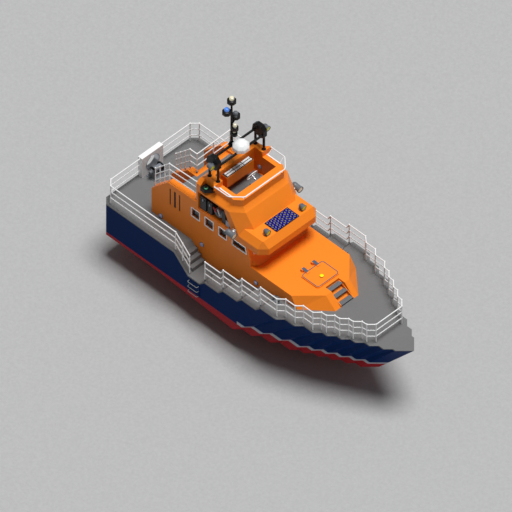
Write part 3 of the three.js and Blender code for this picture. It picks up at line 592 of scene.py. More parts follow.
@dataclass(frozen=True)
class Metal(Finish):
    """Bare metal, brushed along one axis.

    Args:
        roughness: the mean roughness.
        brush: how the brush marks are drawn out on X, Y and Z.
    """

    roughness: float = 0.32
    brush: Point = (2.0, 60.0, 60.0)

    def lay(self, sheet: Sheet) -> None:
        """The brush marks are noise drawn out along an axis, and the tarnish is slow noise."""
        marks, tarnish = sheet.noise(6.0, 3.0, self.brush), sheet.noise(5.0, 4.0)
        tone = 1.0 + (marks - 0.5) * 0.12 + (tarnish - 0.5) * 0.25
        sheet.close(sheet.scaled(self.colour, tone), self.roughness + (marks - 0.5) * 0.2, marks, 0.0004, Metallic=1.0)


@dataclass(frozen=True)
class Moulding(Finish):
    """Moulded plastic or rubber with a fine grained skin.

    Args:
        roughness: the mean roughness.
        grain: grains to the metre.
    """

    roughness: float = 0.5
    grain: float = 260.0

    def lay(self, sheet: Sheet) -> None:
        """The grain is fine cells, and chalking is slow noise that lightens and roughens it."""
        grain, chalk = sheet.cells(self.grain), sheet.noise(9.0, 4.0)
        tone = 0.94 + (chalk - 0.5) * 0.22 + grain * 0.1
        sheet.close(sheet.scaled(self.colour, tone), self.roughness + (chalk - 0.5) * 0.2, grain, 0.0005)


@dataclass(frozen=True)
class CoatedFabric(Finish):
    """Coated upholstery fabric with an embossed hide pattern.

    Args:
        roughness: the mean roughness.
    """

    roughness: float = 0.48

    def lay(self, sheet: Sheet) -> None:
        """The hide pattern is two sizes of cells, one within the other, and the soil is slow noise."""
        hide = sheet.cells(170.0) * 0.7 + sheet.cells(420.0) * 0.3
        soil = sheet.noise(6.0, 4.0)
        tone = 0.97 + (soil - 0.5) * 0.12 + hide * 0.05
        sheet.close(sheet.scaled(self.colour, tone), self.roughness + (soil - 0.5) * 0.15, hide, 0.0012,
                    Sheen_Weight=0.1)


@dataclass(frozen=True)
class Glazing(Finish):
    """Dark toughened glass with a film of dried salt.

    Args:
        alpha: how much of the glass's own tint covers what lies behind.
    """

    alpha: float = 0.8

    def lay(self, sheet: Sheet) -> None:
        """The salt is streaked noise that lifts the roughness and the colour a little."""
        salt, ripple = sheet.noise(3.0, 5.0, (5.0, 5.0, 1.0)), sheet.noise(14.0, 1.0)
        sheet.close(sheet.scaled(self.colour, 0.8 + salt * 0.5), 0.04 + salt * 0.1, ripple, 0.0002,
                    Alpha=self.alpha, Coat_Weight=0.6, Coat_Roughness=0.03)


@dataclass(frozen=True)
class Lens(Finish):
    """A ribbed lamp lens that glows a little of its own.

    Args:
        glow: the strength of the glow.
        ribs: ribs to the metre in height.
    """

    glow: float = 0.25
    ribs: float = 90.0

    def lay(self, sheet: Sheet) -> None:
        """The ribs are a sine of the height, and mottling in the moulding is fine noise."""
        ribs = (sheet.axes()[2] * (2 * math.pi * self.ribs)).sine() * 0.5 + 0.5
        mottle = sheet.noise(30.0, 3.0)
        colour = sheet.scaled(self.colour, 0.9 + ribs * 0.12 + (mottle - 0.5) * 0.15)
        sheet.close(colour, 0.12 + mottle * 0.1, ribs, 0.0008,
                    Coat_Weight=0.7, Emission_Color=colour, Emission_Strength=self.glow)


@dataclass(frozen=True)
class SolarCells(Finish):
    """Blue cells under glass, with short olive conductor traces in staggered rows.

    Args:
        trace_colour: the traces' colour.
        pitch: the distance between rows of traces in metres.
    """

    trace_colour: Colour = (0.2, 0.2, 0.1)
    pitch: float = 0.1

    def lay(self, sheet: Sheet) -> None:
        """A trace shows where the breadth is near a row, and the station, shifted from row to row, is in a dash."""
        x, y, _ = sheet.axes()
        rows = y / self.pitch + (x * 38.0).sine() * 0.16
        shift = (rows.floor() * 0.382).fraction()
        dash = ((x / (1.5 * self.pitch) + shift).fraction() < 0.55) * ((rows.fraction() - 0.5).size() < 0.24)
        crystals = sheet.node("ShaderNodeTexVoronoi", inputs={"Vector": sheet.place, "Scale": 42.0}, output="Color")
        blue = sheet.mix(0.18, self.colour, crystals, "MULTIPLY")
        sheet.close(sheet.mix(dash, blue, self.trace_colour), 0.3 + dash * 0.3, dash, 0.0004,
                    Coat_Weight=0.1, Coat_Roughness=0.05, Specular_IOR_Level=0.15)


@dataclass(frozen=True)
class Display(Finish):
    """A dark instrument glass with a plain plotted grid.

    Args:
        line_colour: the colour of the grid.
        pitch: the grid's spacing in metres.
    """

    line_colour: Colour = (0.05, 0.5, 0.35)
    pitch: float = 0.03

    def lay(self, sheet: Sheet) -> None:
        """The grid shows where the breadth or the height is close to a whole number of spacings."""
        _, y, z = sheet.axes()
        grid = ((y / self.pitch).fraction() < 0.06) + ((z / self.pitch).fraction() < 0.06)
        haze = sheet.noise(8.0, 3.0)
        colour = sheet.mix(grid * 0.6, self.colour, self.line_colour)
        sheet.close(colour, 0.1 + haze * 0.08, haze, 0.0001, Emission_Color=colour, Emission_Strength=0.4)


ORANGE = Paint("orange_gloss", "superstructure_paint", seen(0.99, 0.545, 0.15), 0.4, 0.08, 0.06, 0.04, 0.2)
# The band's light grey is the white band darkened: painted shade.
NAVY = TopsidePaint("navy_topsides", "topside_paint", seen(0.0, 0.15, 0.36), 0.45, 0.0, 0.1, 0.06, 0.03,
                    seen(0.7, 0.72, 0.75))
RED = Paint("red_antifouling", "antifouling", seen(0.66, 0.12, 0.16), 0.62, 0.0, 0.16, 0.1, 0.15)
WHITE = Paint("white_gloss", "white_paint", seen(0.97, 0.97, 0.97), 0.34, 0.2, 0.03, 0.03)
BLACK = Paint("black_satin", "black_paint", seen(0.09, 0.09, 0.09), 0.42, 0.05, 0.2, 0.1, 0.2)
GREY = Paint("grey_satin", "grey_paint", seen(0.42, 0.44, 0.46), 0.42, 0.05)
RUNG_GREY = Paint("rung_grey", "grey_paint", seen(0.53, 0.53, 0.53), 0.4, 0.05)
LOCKER_GREY = Paint("locker_grey", "grey_paint", seen(0.66, 0.68, 0.72), 0.4, 0.05)
RIM_GREY = Paint("slate_satin", "grey_paint", seen(0.3, 0.37, 0.44), 0.45, 0.1)
ENGINE_GREY = Paint("engine_enamel", "engine_paint", seen(0.6, 0.62, 0.65), 0.4, 0.2, 0.12)
DECK = NonSlip("deck_non_slip", "deck_paint", seen(0.44, 0.44, 0.44))
TREAD = NonSlip("tread_non_slip", "deck_paint", seen(0.42, 0.43, 0.44), 120.0, 0.0024)
ALLOY = Metal("brushed_alloy", "alloy", seen(0.78, 0.79, 0.81))
BRONZE = Metal("cast_bronze", "bronze", seen(0.78, 0.6, 0.36), 0.36, (20.0, 20.0, 20.0))
GLASS = Glazing("tinted_glass", "window_glass", seen(0.24, 0.27, 0.3))
CELLS = SolarCells("blue_cells", "solar_cells", seen(0.0, 0.0, 0.5))
SHELL = Moulding("white_moulding", "white_plastic", seen(0.97, 0.97, 0.97), 0.28, 90.0)
PLASTIC = Moulding("black_moulding", "black_plastic", seen(0.16, 0.17, 0.18))
RUBBER = Moulding("rubber_seal", "black_plastic", seen(0.3, 0.35, 0.4), 0.7, 320.0)
PAD_CLOTH = CoatedFabric("white_upholstery", "white_cushion", seen(0.99, 0.99, 0.99))
SEAT_CLOTH = CoatedFabric("black_upholstery", "black_leather", seen(0.17, 0.17, 0.18))
YELLOW_LENS = Lens("yellow_lens", "white_plastic", seen(0.78, 0.78, 0.02), 0.12)
GREEN_LENS = Lens("green_lens", "white_plastic", seen(0.24, 0.72, 0.46), 0.1)
RED_LENS = Lens("red_lens", "white_plastic", seen(0.8, 0.1, 0.1), 0.1)
BLUE_LENS = Lens("blue_lens", "white_plastic", seen(0.36, 0.6, 1.0), 0.12)
CREAM_LENS = Lens("cream_lens", "white_plastic", seen(0.93, 0.9, 0.78), 0.1)
LILAC_LENS = Lens("lilac_lens", "white_plastic", seen(0.62, 0.63, 0.78), 0.05)
YELLOW = Paint("yellow_gloss", "white_paint", seen(1.0, 0.95, 0.02), 0.35, 0.3)
ROPE = Moulding("laid_rope", "black_plastic", seen(0.5, 0.52, 0.55), 0.8, 340.0)
HOSE = Moulding("grey_hose", "black_plastic", seen(0.55, 0.57, 0.6), 0.55, 200.0)
FLOOR = Moulding("studio_floor", "white_plastic", seen(0.7, 0.7, 0.7), 0.9, 40.0)
SCREEN = Display("instrument_glass", "black_plastic", seen(0.03, 0.04, 0.05))


def finished(name: str, shape: Shape, finishes: Sequence[Finish], body: str = "hull", stands_for: Sequence[str] = (),
             bevel: float = 0.0, crease: float = 32.0) -> bpy.types.Object:
    """Makes a piece of the boat from a shape.

    Args:
        name: the piece's name.
        shape: its mesh.
        finishes: the finishes that the shape's tones name, the main one first.
        body: the body that it rides on.
        stands_for: the nodes that it stands for.
        bevel: the width of its rounded edges in metres, or nought for none.
        crease: the angle in degrees over which an edge stays sharp.

    Returns:
        The piece's object.
    """
    mesh = bpy.data.meshes.new(name)
    faces = [row for array in shape.blocks for row in array.tolist()]
    mesh.from_pydata(shape.points.tolist(), [], faces)
    for finish in finishes:
        mesh.materials.append(finish.material())
    tones = np.concatenate([np.full(len(array), tone) for array, tone in zip(shape.blocks, shape.tones)])
    mesh.polygons.foreach_set("material_index", tones.astype(np.int32))
    face_outwards(mesh)
    mesh.polygons.foreach_set("use_smooth", np.ones(len(faces), bool))
    mesh.set_sharp_from_angle(angle=math.radians(crease))
    piece = bpy.data.objects.new(name, mesh)
    bpy.context.scene.collection.objects.link(piece)
    if bevel > 0:
        rounding = piece.modifiers.new("rounded edges", "BEVEL")
        rounding.width = bevel
        rounding.segments = 2
        rounding.limit_method = "ANGLE"
        rounding.angle_limit = math.radians(crease)
    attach(piece, body)
    if stands_for:
        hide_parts(*stands_for)
    LOG.info("%s: %d faces", name, len(faces))
    return piece


def face_outwards(mesh: bpy.types.Mesh) -> None:
    """Turns each closed shell of a mesh so that its faces point out."""
    shells = bmesh.new()
    shells.from_mesh(mesh)
    bmesh.ops.recalc_face_normals(shells, faces=shells.faces)
    shells.to_mesh(mesh)
    shells.free()


@dataclass(frozen=True)
class SubAssembly:
    """A part of the boat that dresses its nodes of the frame and builds its own pieces.

    Args:
        nodes: the frame's nodes by name.
    """

    nodes: dict[str, bpy.types.Object]

    def dress(self, finish: Finish, *names: str) -> None:
        """Gives nodes of the frame a finish."""
        for name in names:
            mesh = self.nodes[name].data
            mesh.materials.clear()
            mesh.materials.append(finish.material())
            LOG.info("%s: %s", name, finish.name)

    def dress_both(self, finish: Finish, *stems: str) -> None:
        """Gives the port and the starboard nodes of each stem a finish."""
        self.dress(finish, *(f"{stem}_{side.word}" for stem in stems for side in Side))

    def build(self) -> None:
        """Dresses the nodes and builds the pieces."""
        raise NotImplementedError


@dataclass(frozen=True)
class Hull(SubAssembly):
    """The hull with its deck, and the tow frame with the eye for the tow rope.

    Args:
        eye: the station, breadth and height of the middle of the eye, in frame spacings.
        eye_radius: the eye's radius in metres.
        eye_lining: the thickness and the length of the eye's lining, in metres.
    """

    eye: Point = (0.55, 0.0, 8.0)
    eye_radius: float = 0.347
    eye_lining: Point = (0.028, 0.256)

    def build(self) -> None:
        """Paints the hull, its deck and the tow frame, and lines the eye."""
        self.dress(RED, "hull_bottom")
        self.dress(NAVY, "hull_topsides")
        self.dress(DECK, "deck")
        self.dress(ENGINE_GREY, "engines")
        self.dress(WHITE, "tow_frame")
        self.dress_both(RED, "shaft_bracket")
        path = metres(self.eye) + np.insert(circle(self.eye_radius, 40), 0, 0.0, axis=1)
        lining = sweep(path, flat_bar(*self.eye_lining), AHEAD, closed=True)
        finished("tow_eye_lining", lining, [ALLOY], bevel=0.005)


@dataclass(frozen=True)
class RunningGear(SubAssembly):
    """The propellers on their shafts, and the rudders.

    Args:
        breadth: the breadth of the shafts and of the rudder stocks.
        hub: the station and the height of the middle of a hub.
        hub_profile: distance ahead of the hub's middle and radius, in metres, from the cone's tip forward.
        shaft_end: the station and the height where a shaft goes out of sight in the hull.
        shaft_start: how far ahead of the hub's middle the shaft starts, in metres.
        shaft_radius: in metres.
        blades: how many blades a propeller has.
        pitch: the angle of the blades to the disc, in radians.
        blade_radii: where a blade starts and ends, in metres.
        blade_width: half a blade's greatest width in metres.
        blade_thickness: half a blade's greatest thickness in metres.
        rudder_station: the station of the stocks.
        rudder_heights: the lowest and highest of a rudder blade.
        rudder_edges: the stations of a rudder's after and fore edge.
        rudder_half: half of a rudder's thickness, as the foil's formula takes it.
        stock_heights: where a stock starts, in the blade, and ends, in the hull.
        stock_radius: in metres.
    """

    breadth: float = 5.0
    hub: Point = (3.5, -3.6989)
    hub_profile: tuple = (
        (-0.17, 0.004), (-0.16, 0.02), (-0.125, 0.045), (-0.08, 0.064), (-0.06, 0.076), (0.06, 0.078), (0.09, 0.07),
        (0.1, 0.042),
    )
    shaft_end: Point = (12.5, -2.55)
    shaft_start: float = 0.09
    shaft_radius: float = 0.04
    blades: int = 4
    pitch: float = 0.6
    blade_radii: Point = (0.05, 0.345)
    blade_width: float = 0.115
    blade_thickness: float = 0.011
    rudder_station: float = 1.35
    rudder_heights: Point = (-5.0, -2.75)
    rudder_edges: Point = (0.35, 2.15)
    rudder_half: float = 0.24
    stock_heights: Point = (-2.85, -1.0)
    stock_radius: float = 0.045

    def build(self) -> None:
        """Builds the gear of both sides."""
        for side in Side:
            self.propeller(side)
            self.rudder(side)

    def blade(self, turn: float, hand: int) -> np.ndarray:
        """Works out one blade as a grid in the hub's own axes: forward, across, up.

        At the share s of the span and the radius r, half the blade's width is
        w = width · sin(pi (0.13 + 0.8 s))^0.8 · sqrt(1.02 - s^6), which rounds the tip. With u from -1 to 1 across
        the blade, half its thickness is t = thickness · (1.15 - s) (1.02 - u²). The point lies at
        forward = hand · u w sin(pitch) ± t and at the angle turn + u w cos(pitch) / r about the hub.

        Args:
            turn: the angle of the blade about the hub, in radians.
            hand: 1 or -1, for the way the propeller turns.

        Returns:
            The grid's points, from root to tip and once round the blade.
        """
        inner, outer = self.blade_radii
        share = np.linspace(0, 1, 15)[:, None]
        radius = inner + (outer - inner) * share
        width = self.blade_width * np.sin(np.pi * (0.13 + 0.8 * share)) ** 0.8
        width = width * np.sqrt(np.clip(1.02 - share**6, 0, 1))
        there = np.linspace(-1, 1, 11)
        u = np.concatenate([there, there[-2:0:-1]])[None, :]
        face = np.concatenate([np.ones(11), -np.ones(9)])[None, :]
        thick = self.blade_thickness * (1.15 - share) * (1.02 - u**2)
        forward = hand * u * width * math.sin(self.pitch) + face * thick
        angle = turn + u * width * math.cos(self.pitch) / np.maximum(radius, 0.11)
        return np.stack([forward, radius * np.cos(angle), radius * np.sin(angle)], axis=-1)

    def propeller(self, side: Side) -> None:
        """Builds the hub with its blades, a cone behind it and the shaft ahead of it."""
        middle, end = metres([(x, self.breadth, z) for x, z in (self.hub, self.shaft_end)])
        axis = unit(end - middle)
        axes = np.stack([axis, ABEAM, np.cross(axis, ABEAM)])
        turns = np.arange(self.blades) * 2 * math.pi / self.blades
        blades = merge(skin(middle + self.blade(turn, -side.value) @ axes) for turn in turns)
        hub = lathe(self.hub_profile, middle, axis)
        length = float(np.linalg.norm(end - middle))
        shaft = lathe([(self.shaft_start, self.shaft_radius), (length, self.shaft_radius)], middle, axis, 24, 1)
        name = f"propeller_{side.word}"
        finished(f"bronze_{name}", merge([blades, hub, shaft]).on(side), [BRONZE, ALLOY], name, [name], crease=40)

    def rudder(self, side: Side) -> None:
        """Builds a foil on its stock.

        At the share s of the chord, half the foil's thickness is 3.9 · half · (sqrt(s) - s) · (1 - 0.1 s).
        """
        aft, front = self.rudder_edges
        share = (1 - np.cos(np.linspace(0, np.pi, 19))) / 2
        half = self.rudder_half * 3.9 * (np.sqrt(share) - share) * (1 - 0.1 * share)
        station = front - (front - aft) * share
        outline = np.concatenate([
            np.stack([station, self.breadth + half], axis=-1),
            np.stack([station, self.breadth - half], axis=-1)[-2:0:-1],
        ])
        stock = metres([(self.rudder_station, self.breadth, height) for height in self.stock_heights])
        shape = prism(outline[::-1], *self.rudder_heights) + tube(stock, self.stock_radius, 24, tone=1)
        name = f"rudder_{side.word}"
        finished(f"foil_{name}", shape.on(side), [RED, ALLOY], name, [name], bevel=0.006, crease=50)


@dataclass(frozen=True)
class GuardRails(SubAssembly):
    """The tubular rails round the decks, and the boarding rungs on the hull's sides.

    A rail's corners are given as station, breadth and height of the deck, on the port side.

    Args:
        bars: how many bars a rail has.
        step: the height between the bars.
        bar_radius: in metres.
        post_radius: in metres.
        bend: the radius of the bars' bends.
        post_ends: how far a post reaches below the deck and above its top bar, in metres.
        flange_profile: the profile of a post's foot flange, above the deck.
        collar_profile: the profile of a post's collar, above a bar's middle.
        aft_path: the aft rail's corners.
        raised_path: the fore rail's corners along the stepped deck.
        bow_path: its corners on the fore deck.
        bow_front: the station where it crosses the bow.
        upper_port_path: the corners of the port rail of the upper deck, which crosses over the door.
        upper_port_between: its posts between the corners.
        upper_starboard_path: the corners of the starboard rail, as if it stood to port.
        upper_starboard_between: its posts between the corners.
        rung_heights: the heights of the boarding rungs.
        rung_stations: the stations of a rung's two ends.
        rung_breadths: the breadths of a rung's foot and of its step.
        rung_radius: in metres.
        rung_bend: the radius of a rung's bends.
        rung_bar_half: half the breadth of the flat bars that the rungs are welded to.
        rung_bar_breadths: the breadths of the flat bars' two faces.
        rung_bar_heights: their lower and upper ends.
    """

    bars: int = 3
    step: float = 1.25
    bar_radius: float = 0.023
    post_radius: float = 0.024
    bend: float = 0.07
    post_ends: Point = (0.035, 0.012)
    flange_profile: tuple = ((-0.03, 0.038), (0.005, 0.038), (0.01, 0.028), (0.02, 0.024))
    collar_profile: tuple = ((-0.03, 0.026), (-0.024, 0.031), (0.024, 0.031), (0.03, 0.026))
    aft_path: tuple = (
        (0.5, 2.26, 6.0), (0.5, 8.5, 6.0), (1.5, 9.5, 6.0), (15.4, 9.5, 6.0), (16.9, 9.5, 4.6), (18.4, 9.5, 3.1),
    )
    raised_path: tuple = (
        (21.7, 9.5, 4.0), (25.1, 9.5, 4.0), (25.6, 9.5, 5.0), (29.1, 9.5, 5.0), (29.6, 9.5, 6.0), (33.1, 9.5, 6.0),
        (33.6, 9.5, 7.0),
    )
    bow_path: tuple = (
        (37.1, 9.5, 7.0), (38.1, 8.6, 7.0), (40.1, 8.6, 7.0), (41.0, 7.7, 7.0), (43.0, 7.7, 7.0), (43.9, 6.75, 7.0),
        (44.9, 6.7, 7.0), (45.8, 5.8, 7.0), (46.8, 5.75, 7.0), (47.8, 4.8, 7.0), (48.7, 4.75, 7.0), (49.65, 3.8, 7.0),
        (50.6, 3.75, 7.0), (51.6, 2.75, 7.0),
    )
    bow_front: float = 51.6
    upper_port_path: tuple = (
        (7.4, -1.4, 11.4), (10.4, -1.4, 14.5), (11.9, -1.4, 14.5), (11.9, 5.7, 14.7), (16.2, 5.7, 14.75),
    )
    upper_port_between: tuple = ((8.4, -1.4, 12.4), (9.4, -1.4, 13.4), (11.9, 2.1, 14.5))
    upper_starboard_path: tuple = ((7.4, 5.8, 11.4), (10.4, 5.8, 14.5), (16.2, 5.8, 14.75))
    upper_starboard_between: tuple = ((8.4, 5.8, 12.4), (9.4, 5.8, 13.4))
    rung_heights: tuple = (0.35, 1.35, 2.35)
    rung_stations: Point = (18.9, 20.9)
    rung_breadths: Point = (10.02, 10.5)
    rung_radius: float = 0.0142
    rung_bend: float = 0.05
    rung_bar_half: float = 0.09
    rung_bar_breadths: Point = (10.0, 10.07)
    rung_bar_heights: Point = (0.15, 2.55)

    def build(self) -> None:
        """Builds the rails and rungs of both sides."""
        fore_path = [*self.raised_path, *self.bow_path, (self.bow_front, 0.0, self.bow_path[-1][2])]
        fore_posts = [*self.raised_path[::2], *self.bow_path]
        for side in Side:
            self.rail(f"aft_rail_{side.word}", self.aft_path, self.aft_path[1:], side)
            self.rail(f"fore_rail_{side.word}", fore_path, fore_posts, side)
            self.rungs(side)
        port_posts = [*self.upper_port_path, *self.upper_port_between]
        starboard_posts = [*self.upper_starboard_path, *self.upper_starboard_between]
        self.rail("upper_rail_port", self.upper_port_path, port_posts, Side.PORT)
        self.rail("upper_rail_starboard", self.upper_starboard_path, starboard_posts, Side.STARBOARD)

    def rail(self, name: str, path: Sequence, posts: Sequence, side: Side) -> None:
        """Builds bars over posts, each post with a foot flange and a collar at each bar.

        Args:
            name: the node that the rail stands for.
            path: the rail's corners.
            posts: where its posts stand.
            side: the side that it is on.
        """
        levels = self.step * np.arange(1, self.bars + 1)
        lines = np.asarray(path) + levels[:, None, None] * UPWARD
        tubes = [tube(metres(line), self.bar_radius, 10, self.bend) for line in lines]
        below, above = self.post_ends
        post_profile = [(-below, self.post_radius), (levels[-1] * SPACING + above, self.post_radius)]
        feet = metres(posts)
        uprights = [lathe(post_profile, foot, UPWARD, 10) for foot in feet]
        flanges = [lathe(self.flange_profile, foot, UPWARD, 12, 1) for foot in feet]
        collars = [
            lathe(self.collar_profile, foot + level * SPACING * UPWARD, UPWARD, 10) for foot in feet for level in levels
        ]
        whole = merge([*tubes, *uprights, *flanges, *collars])
        finished(f"tubular_{name}", whole.on(side), [WHITE, GREY], "hull", [name], crease=45)

    def rungs(self, side: Side) -> None:
        """Builds hooked rungs between two flat bars on the hull's side."""
        (aft, front), (foot, out) = self.rung_stations, self.rung_breadths
        hooks = [
            tube(metres([(aft, foot, z), (aft, out, z), (front, out, z), (front, foot, z)]), self.rung_radius, 10,
                 self.rung_bend)
            for z in self.rung_heights
        ]
        half = self.rung_bar_half
        bars = [
            block((x - half, x + half), self.rung_bar_breadths, self.rung_bar_heights, 1) for x in self.rung_stations
        ]
        name = f"boarding_rungs_{side.word}"
        finished(f"hooked_{name}", merge([*hooks, *bars]).on(side), [RUNG_GREY, NAVY], "hull", [name], bevel=0.003)


@dataclass(frozen=True)
class SternWinch(SubAssembly):
    """The towing winch behind the tow frame: a rope drum across the deck between two cheeks.

    Args:
        middle: the station, breadth and height of the middle of the drum.
        half_length: half the drum's length between its discs.
        disc_radius: in metres.
        rope_radius: the radius of the rope on the drum.
        rope_turn: the distance between its turns, in metres.
        rope_swell: how far a turn stands out, in metres.
        deck_height: the height that it stands on.
    """

    middle: Point = (2.1, -0.2, 7.5)
    half_length: float = 0.95
    disc_radius: float = 0.18
    rope_radius: float = 0.1
    rope_turn: float = 0.022
    rope_swell: float = 0.006
    deck_height: float = 6.0

    def build(self) -> None:
        """Builds the cheeks on their bed, and the drum."""
        self.cheeks()
        self.drum()

    def cheeks(self) -> None:
        """Builds two cheek plates, tapered to the bearings, on a bed plate, with the motor at the starboard end."""
        x, y, z = self.middle
        low = self.deck_height
        outline = [(x - 0.8, low + 0.1), (x + 0.8, low + 0.1), (x + 0.3, z + 0.35), (x - 0.3, z + 0.35)]
        out = self.half_length + 0.12
        plates = [prism(outline, y + s * out - 0.05, y + s * out + 0.05, Plane.PROFILE) for s in (-1, 1)]
        bed = block((x - 0.95, x + 0.95), (y - out - 0.25, y + out + 0.25), (low, low + 0.12))
        motor_foot = metres((x, y - out - 0.02, z))
        motor = lathe([(0, 0.07), (0.015, 0.075), (0.1, 0.075), (0.12, 0.06), (0.13, 0.03)], motor_foot, -ABEAM, 20)
        bearing = lathe([(0, 0.05), (0.02, 0.05), (0.03, 0.035)], metres((x, y + out + 0.02, z)), ABEAM, 20)
        finished("winch_cheeks", merge([*plates, bed, motor, bearing]), [GREY], "hull", ["winch_frame"], bevel=0.006)

    def drum(self) -> None:
        """Builds the drum with its discs, and the rope wound on it.

        Along the drum the rope's surface has the radius rope + swell · |sin(pi · distance / turn)|.
        """
        half = self.half_length * SPACING
        foot = metres(self.middle)
        disc = [(0.0, 0.04), (0.0, self.disc_radius), (0.018, self.disc_radius), (0.024, 0.06), (0.024, 0.04)]
        discs = [lathe([(half - 0.024 - a, r) for a, r in disc], foot, s * ABEAM, 32) for s in (-1, 1)]
        along = np.linspace(-half + 0.03, half - 0.03, 121)
        wound = self.rope_radius + self.rope_swell * np.abs(np.sin(along / self.rope_turn * np.pi))
        rope = lathe(np.stack([along, wound], axis=-1), foot, ABEAM, 32, 1)
        finished("winch_rope_drum", merge([*discs, rope]), [BLACK, ROPE], "winch_drum", ["winch_drum"], crease=30)


@dataclass(frozen=True)
class Superstructure(SubAssembly):
    """The cabin with its windows, side vents, side lamps, door and stairs.

    Args:
        wall: the breadth of the cabin's sides.
        frame: the width and depth of the window frames, in metres.
        sill: the height of the side windows' lower edge.
        windows: for each side window the after station, the fore station below and above, and the upper edge.
        panes: the breadths of the windscreen's panes.
        pane_heights: the heights of their lower and upper edges.
        screen_foot: the station and height at which the raked front wall starts.
        rake: how far the wall leans aft for each spacing of height.
        vents: the station and the half width of each side vent.
        vent_heights: their lower and upper ends.
        lamp_stations: the stations of the round side lamps.
        lamp_height: their height.
    """

    wall: float = 6.25
    frame: Point = (0.034, 0.034)
    sill: float = 11.1
    windows: tuple = (
        (15.55, 17.3, 17.3, 12.9), (18.45, 20.25, 20.25, 12.9), (21.4, 23.1, 23.1, 12.9), (24.3, 27.4, 27.05, 12.4),
    )
    panes: tuple = ((-5.3, -1.95), (-1.7, 1.7), (1.95, 5.3))
    pane_heights: Point = (10.95, 12.35)
    screen_foot: Point = (28.0, 10.7)
    rake: float = 0.4 / 1.9
    vents: tuple = ((11.0, 0.125), (12.0, 0.2), (13.0, 0.125))
    vent_heights: Point = (10.2, 13.6)
    lamp_stations: tuple = (9.05, 17.8, 29.4)
    lamp_height: float = 6.5

    def build(self) -> None:
        """Dresses the cabin and builds its fittings."""
        self.dress(ORANGE, "cabin_base", "cabin_aft_wall", "cabin_front_wall", "wheelhouse_roof", "aft_door")
        self.dress_both(ORANGE, "cabin_side")
        self.dress(DECK, "upper_deck", "helm_floor")
        self.dress(TREAD, "aft_stairs")
        self.dress(GLASS, "windscreen")
        self.dress_both(GLASS, "side_glass")
        for side in Side:
            self.side_windows(side)
            self.side_vents(side)
            self.side_lamps(side)
        self.windscreen_frames()
        self.door()

    def side_windows(self, side: Side) -> None:
        """Frames each side window."""
        y, sill = self.wall, self.sill
        frames = [
            outlined([(aft, y, sill), (low, y, sill), (high, y, top), (aft, y, top)], ABEAM, *self.frame)
            for aft, low, high, top in self.windows
        ]
        finished(f"window_frames_{side.word}", merge(frames).on(side), [WHITE], bevel=0.005)

    def windscreen_frames(self) -> None:
        """Frames the panes on the raked wall, whose station is that of its foot - rake · (height over the foot)."""
        low, high = self.pane_heights
        station, foot = self.screen_foot
        below, above = station - self.rake * (low - foot), station - self.rake * (high - foot)
        frames = [
            outlined([(below, a, low), (below, b, low), (above, b, high), (above, a, high)], (1, 0, self.rake),
                     *self.frame)
            for a, b in self.panes
        ]
        finished("windscreen_frames", merge(frames), [WHITE], bevel=0.005)

    def side_vents(self, side: Side) -> None:
        """Builds slatted vents in the recesses of the aft wing."""
        low, high = self.vent_heights
        back = self.wall - 0.078
        shapes = []
        for station, half in self.vents:
            near, far = station - half + 0.004, station + half - 0.004
            shapes.append(block((near, far), (back, back + 0.015), (low + 0.004, high - 0.004)))
            shapes.extend(
                prism([(back, z + 0.1), (back + 0.06, z), (back + 0.07, z + 0.03), (back, z + 0.14)], near, far,
                      Plane.SECTION)
                for z in np.arange(low + 0.1, high - 0.2, 0.2)
            )
        finished(f"side_vents_{side.word}", merge(shapes).on(side), [PLASTIC])

    def side_lamps(self, side: Side) -> None:
        """Builds round lamps on the cabin's side."""
        base = [(-0.01, 0.105), (0.02, 0.105), (0.03, 0.094)]
        lens = [(0.025, 0.088), (0.045, 0.08), (0.06, 0.052), (0.066, 0.014)]
        feet = [metres((x, self.wall, self.lamp_height)) for x in self.lamp_stations]
        whole = merge(lathe(base, foot, ABEAM, 20) + lathe(lens, foot, ABEAM, 20, 1) for foot in feet)
        finished(f"side_lamps_{side.word}", whole.on(side), [GREY, LILAC_LENS])

    def door(self) -> None:
        """Builds the door's pane in its seal, and its lever handles."""
        corners = [(12.34, 1.2, 10.6), (12.34, 3.0, 10.6), (12.34, 3.0, 12.6), (12.34, 1.2, 12.6)]
        seal = outlined(corners, AHEAD, 0.03, 0.085, 0.03)
        pane = block((12.3, 12.36), (1.15, 3.05), (10.55, 12.65), tone=1)
        finished("door_window", seal + pane, [RUBBER, GLASS], "aft_door", bevel=0.003)
        handle = []
        for face, way in ((12.2, -1), (12.48, 1)):
            foot = metres((face, 0.65, 9.6))
            handle.append(lathe([(-0.004, 0.03), (0.008, 0.03), (0.012, 0.012), (0.045, 0.012)], foot, (way, 0, 0), 16))
            reach = face + way * 0.17
            handle.append(tube(metres([(reach, 0.65, 9.6), (reach, 1.2, 9.6)]), 0.011, 12))
        finished("door_handles", merge(handle), [ALLOY], "aft_door", crease=40)


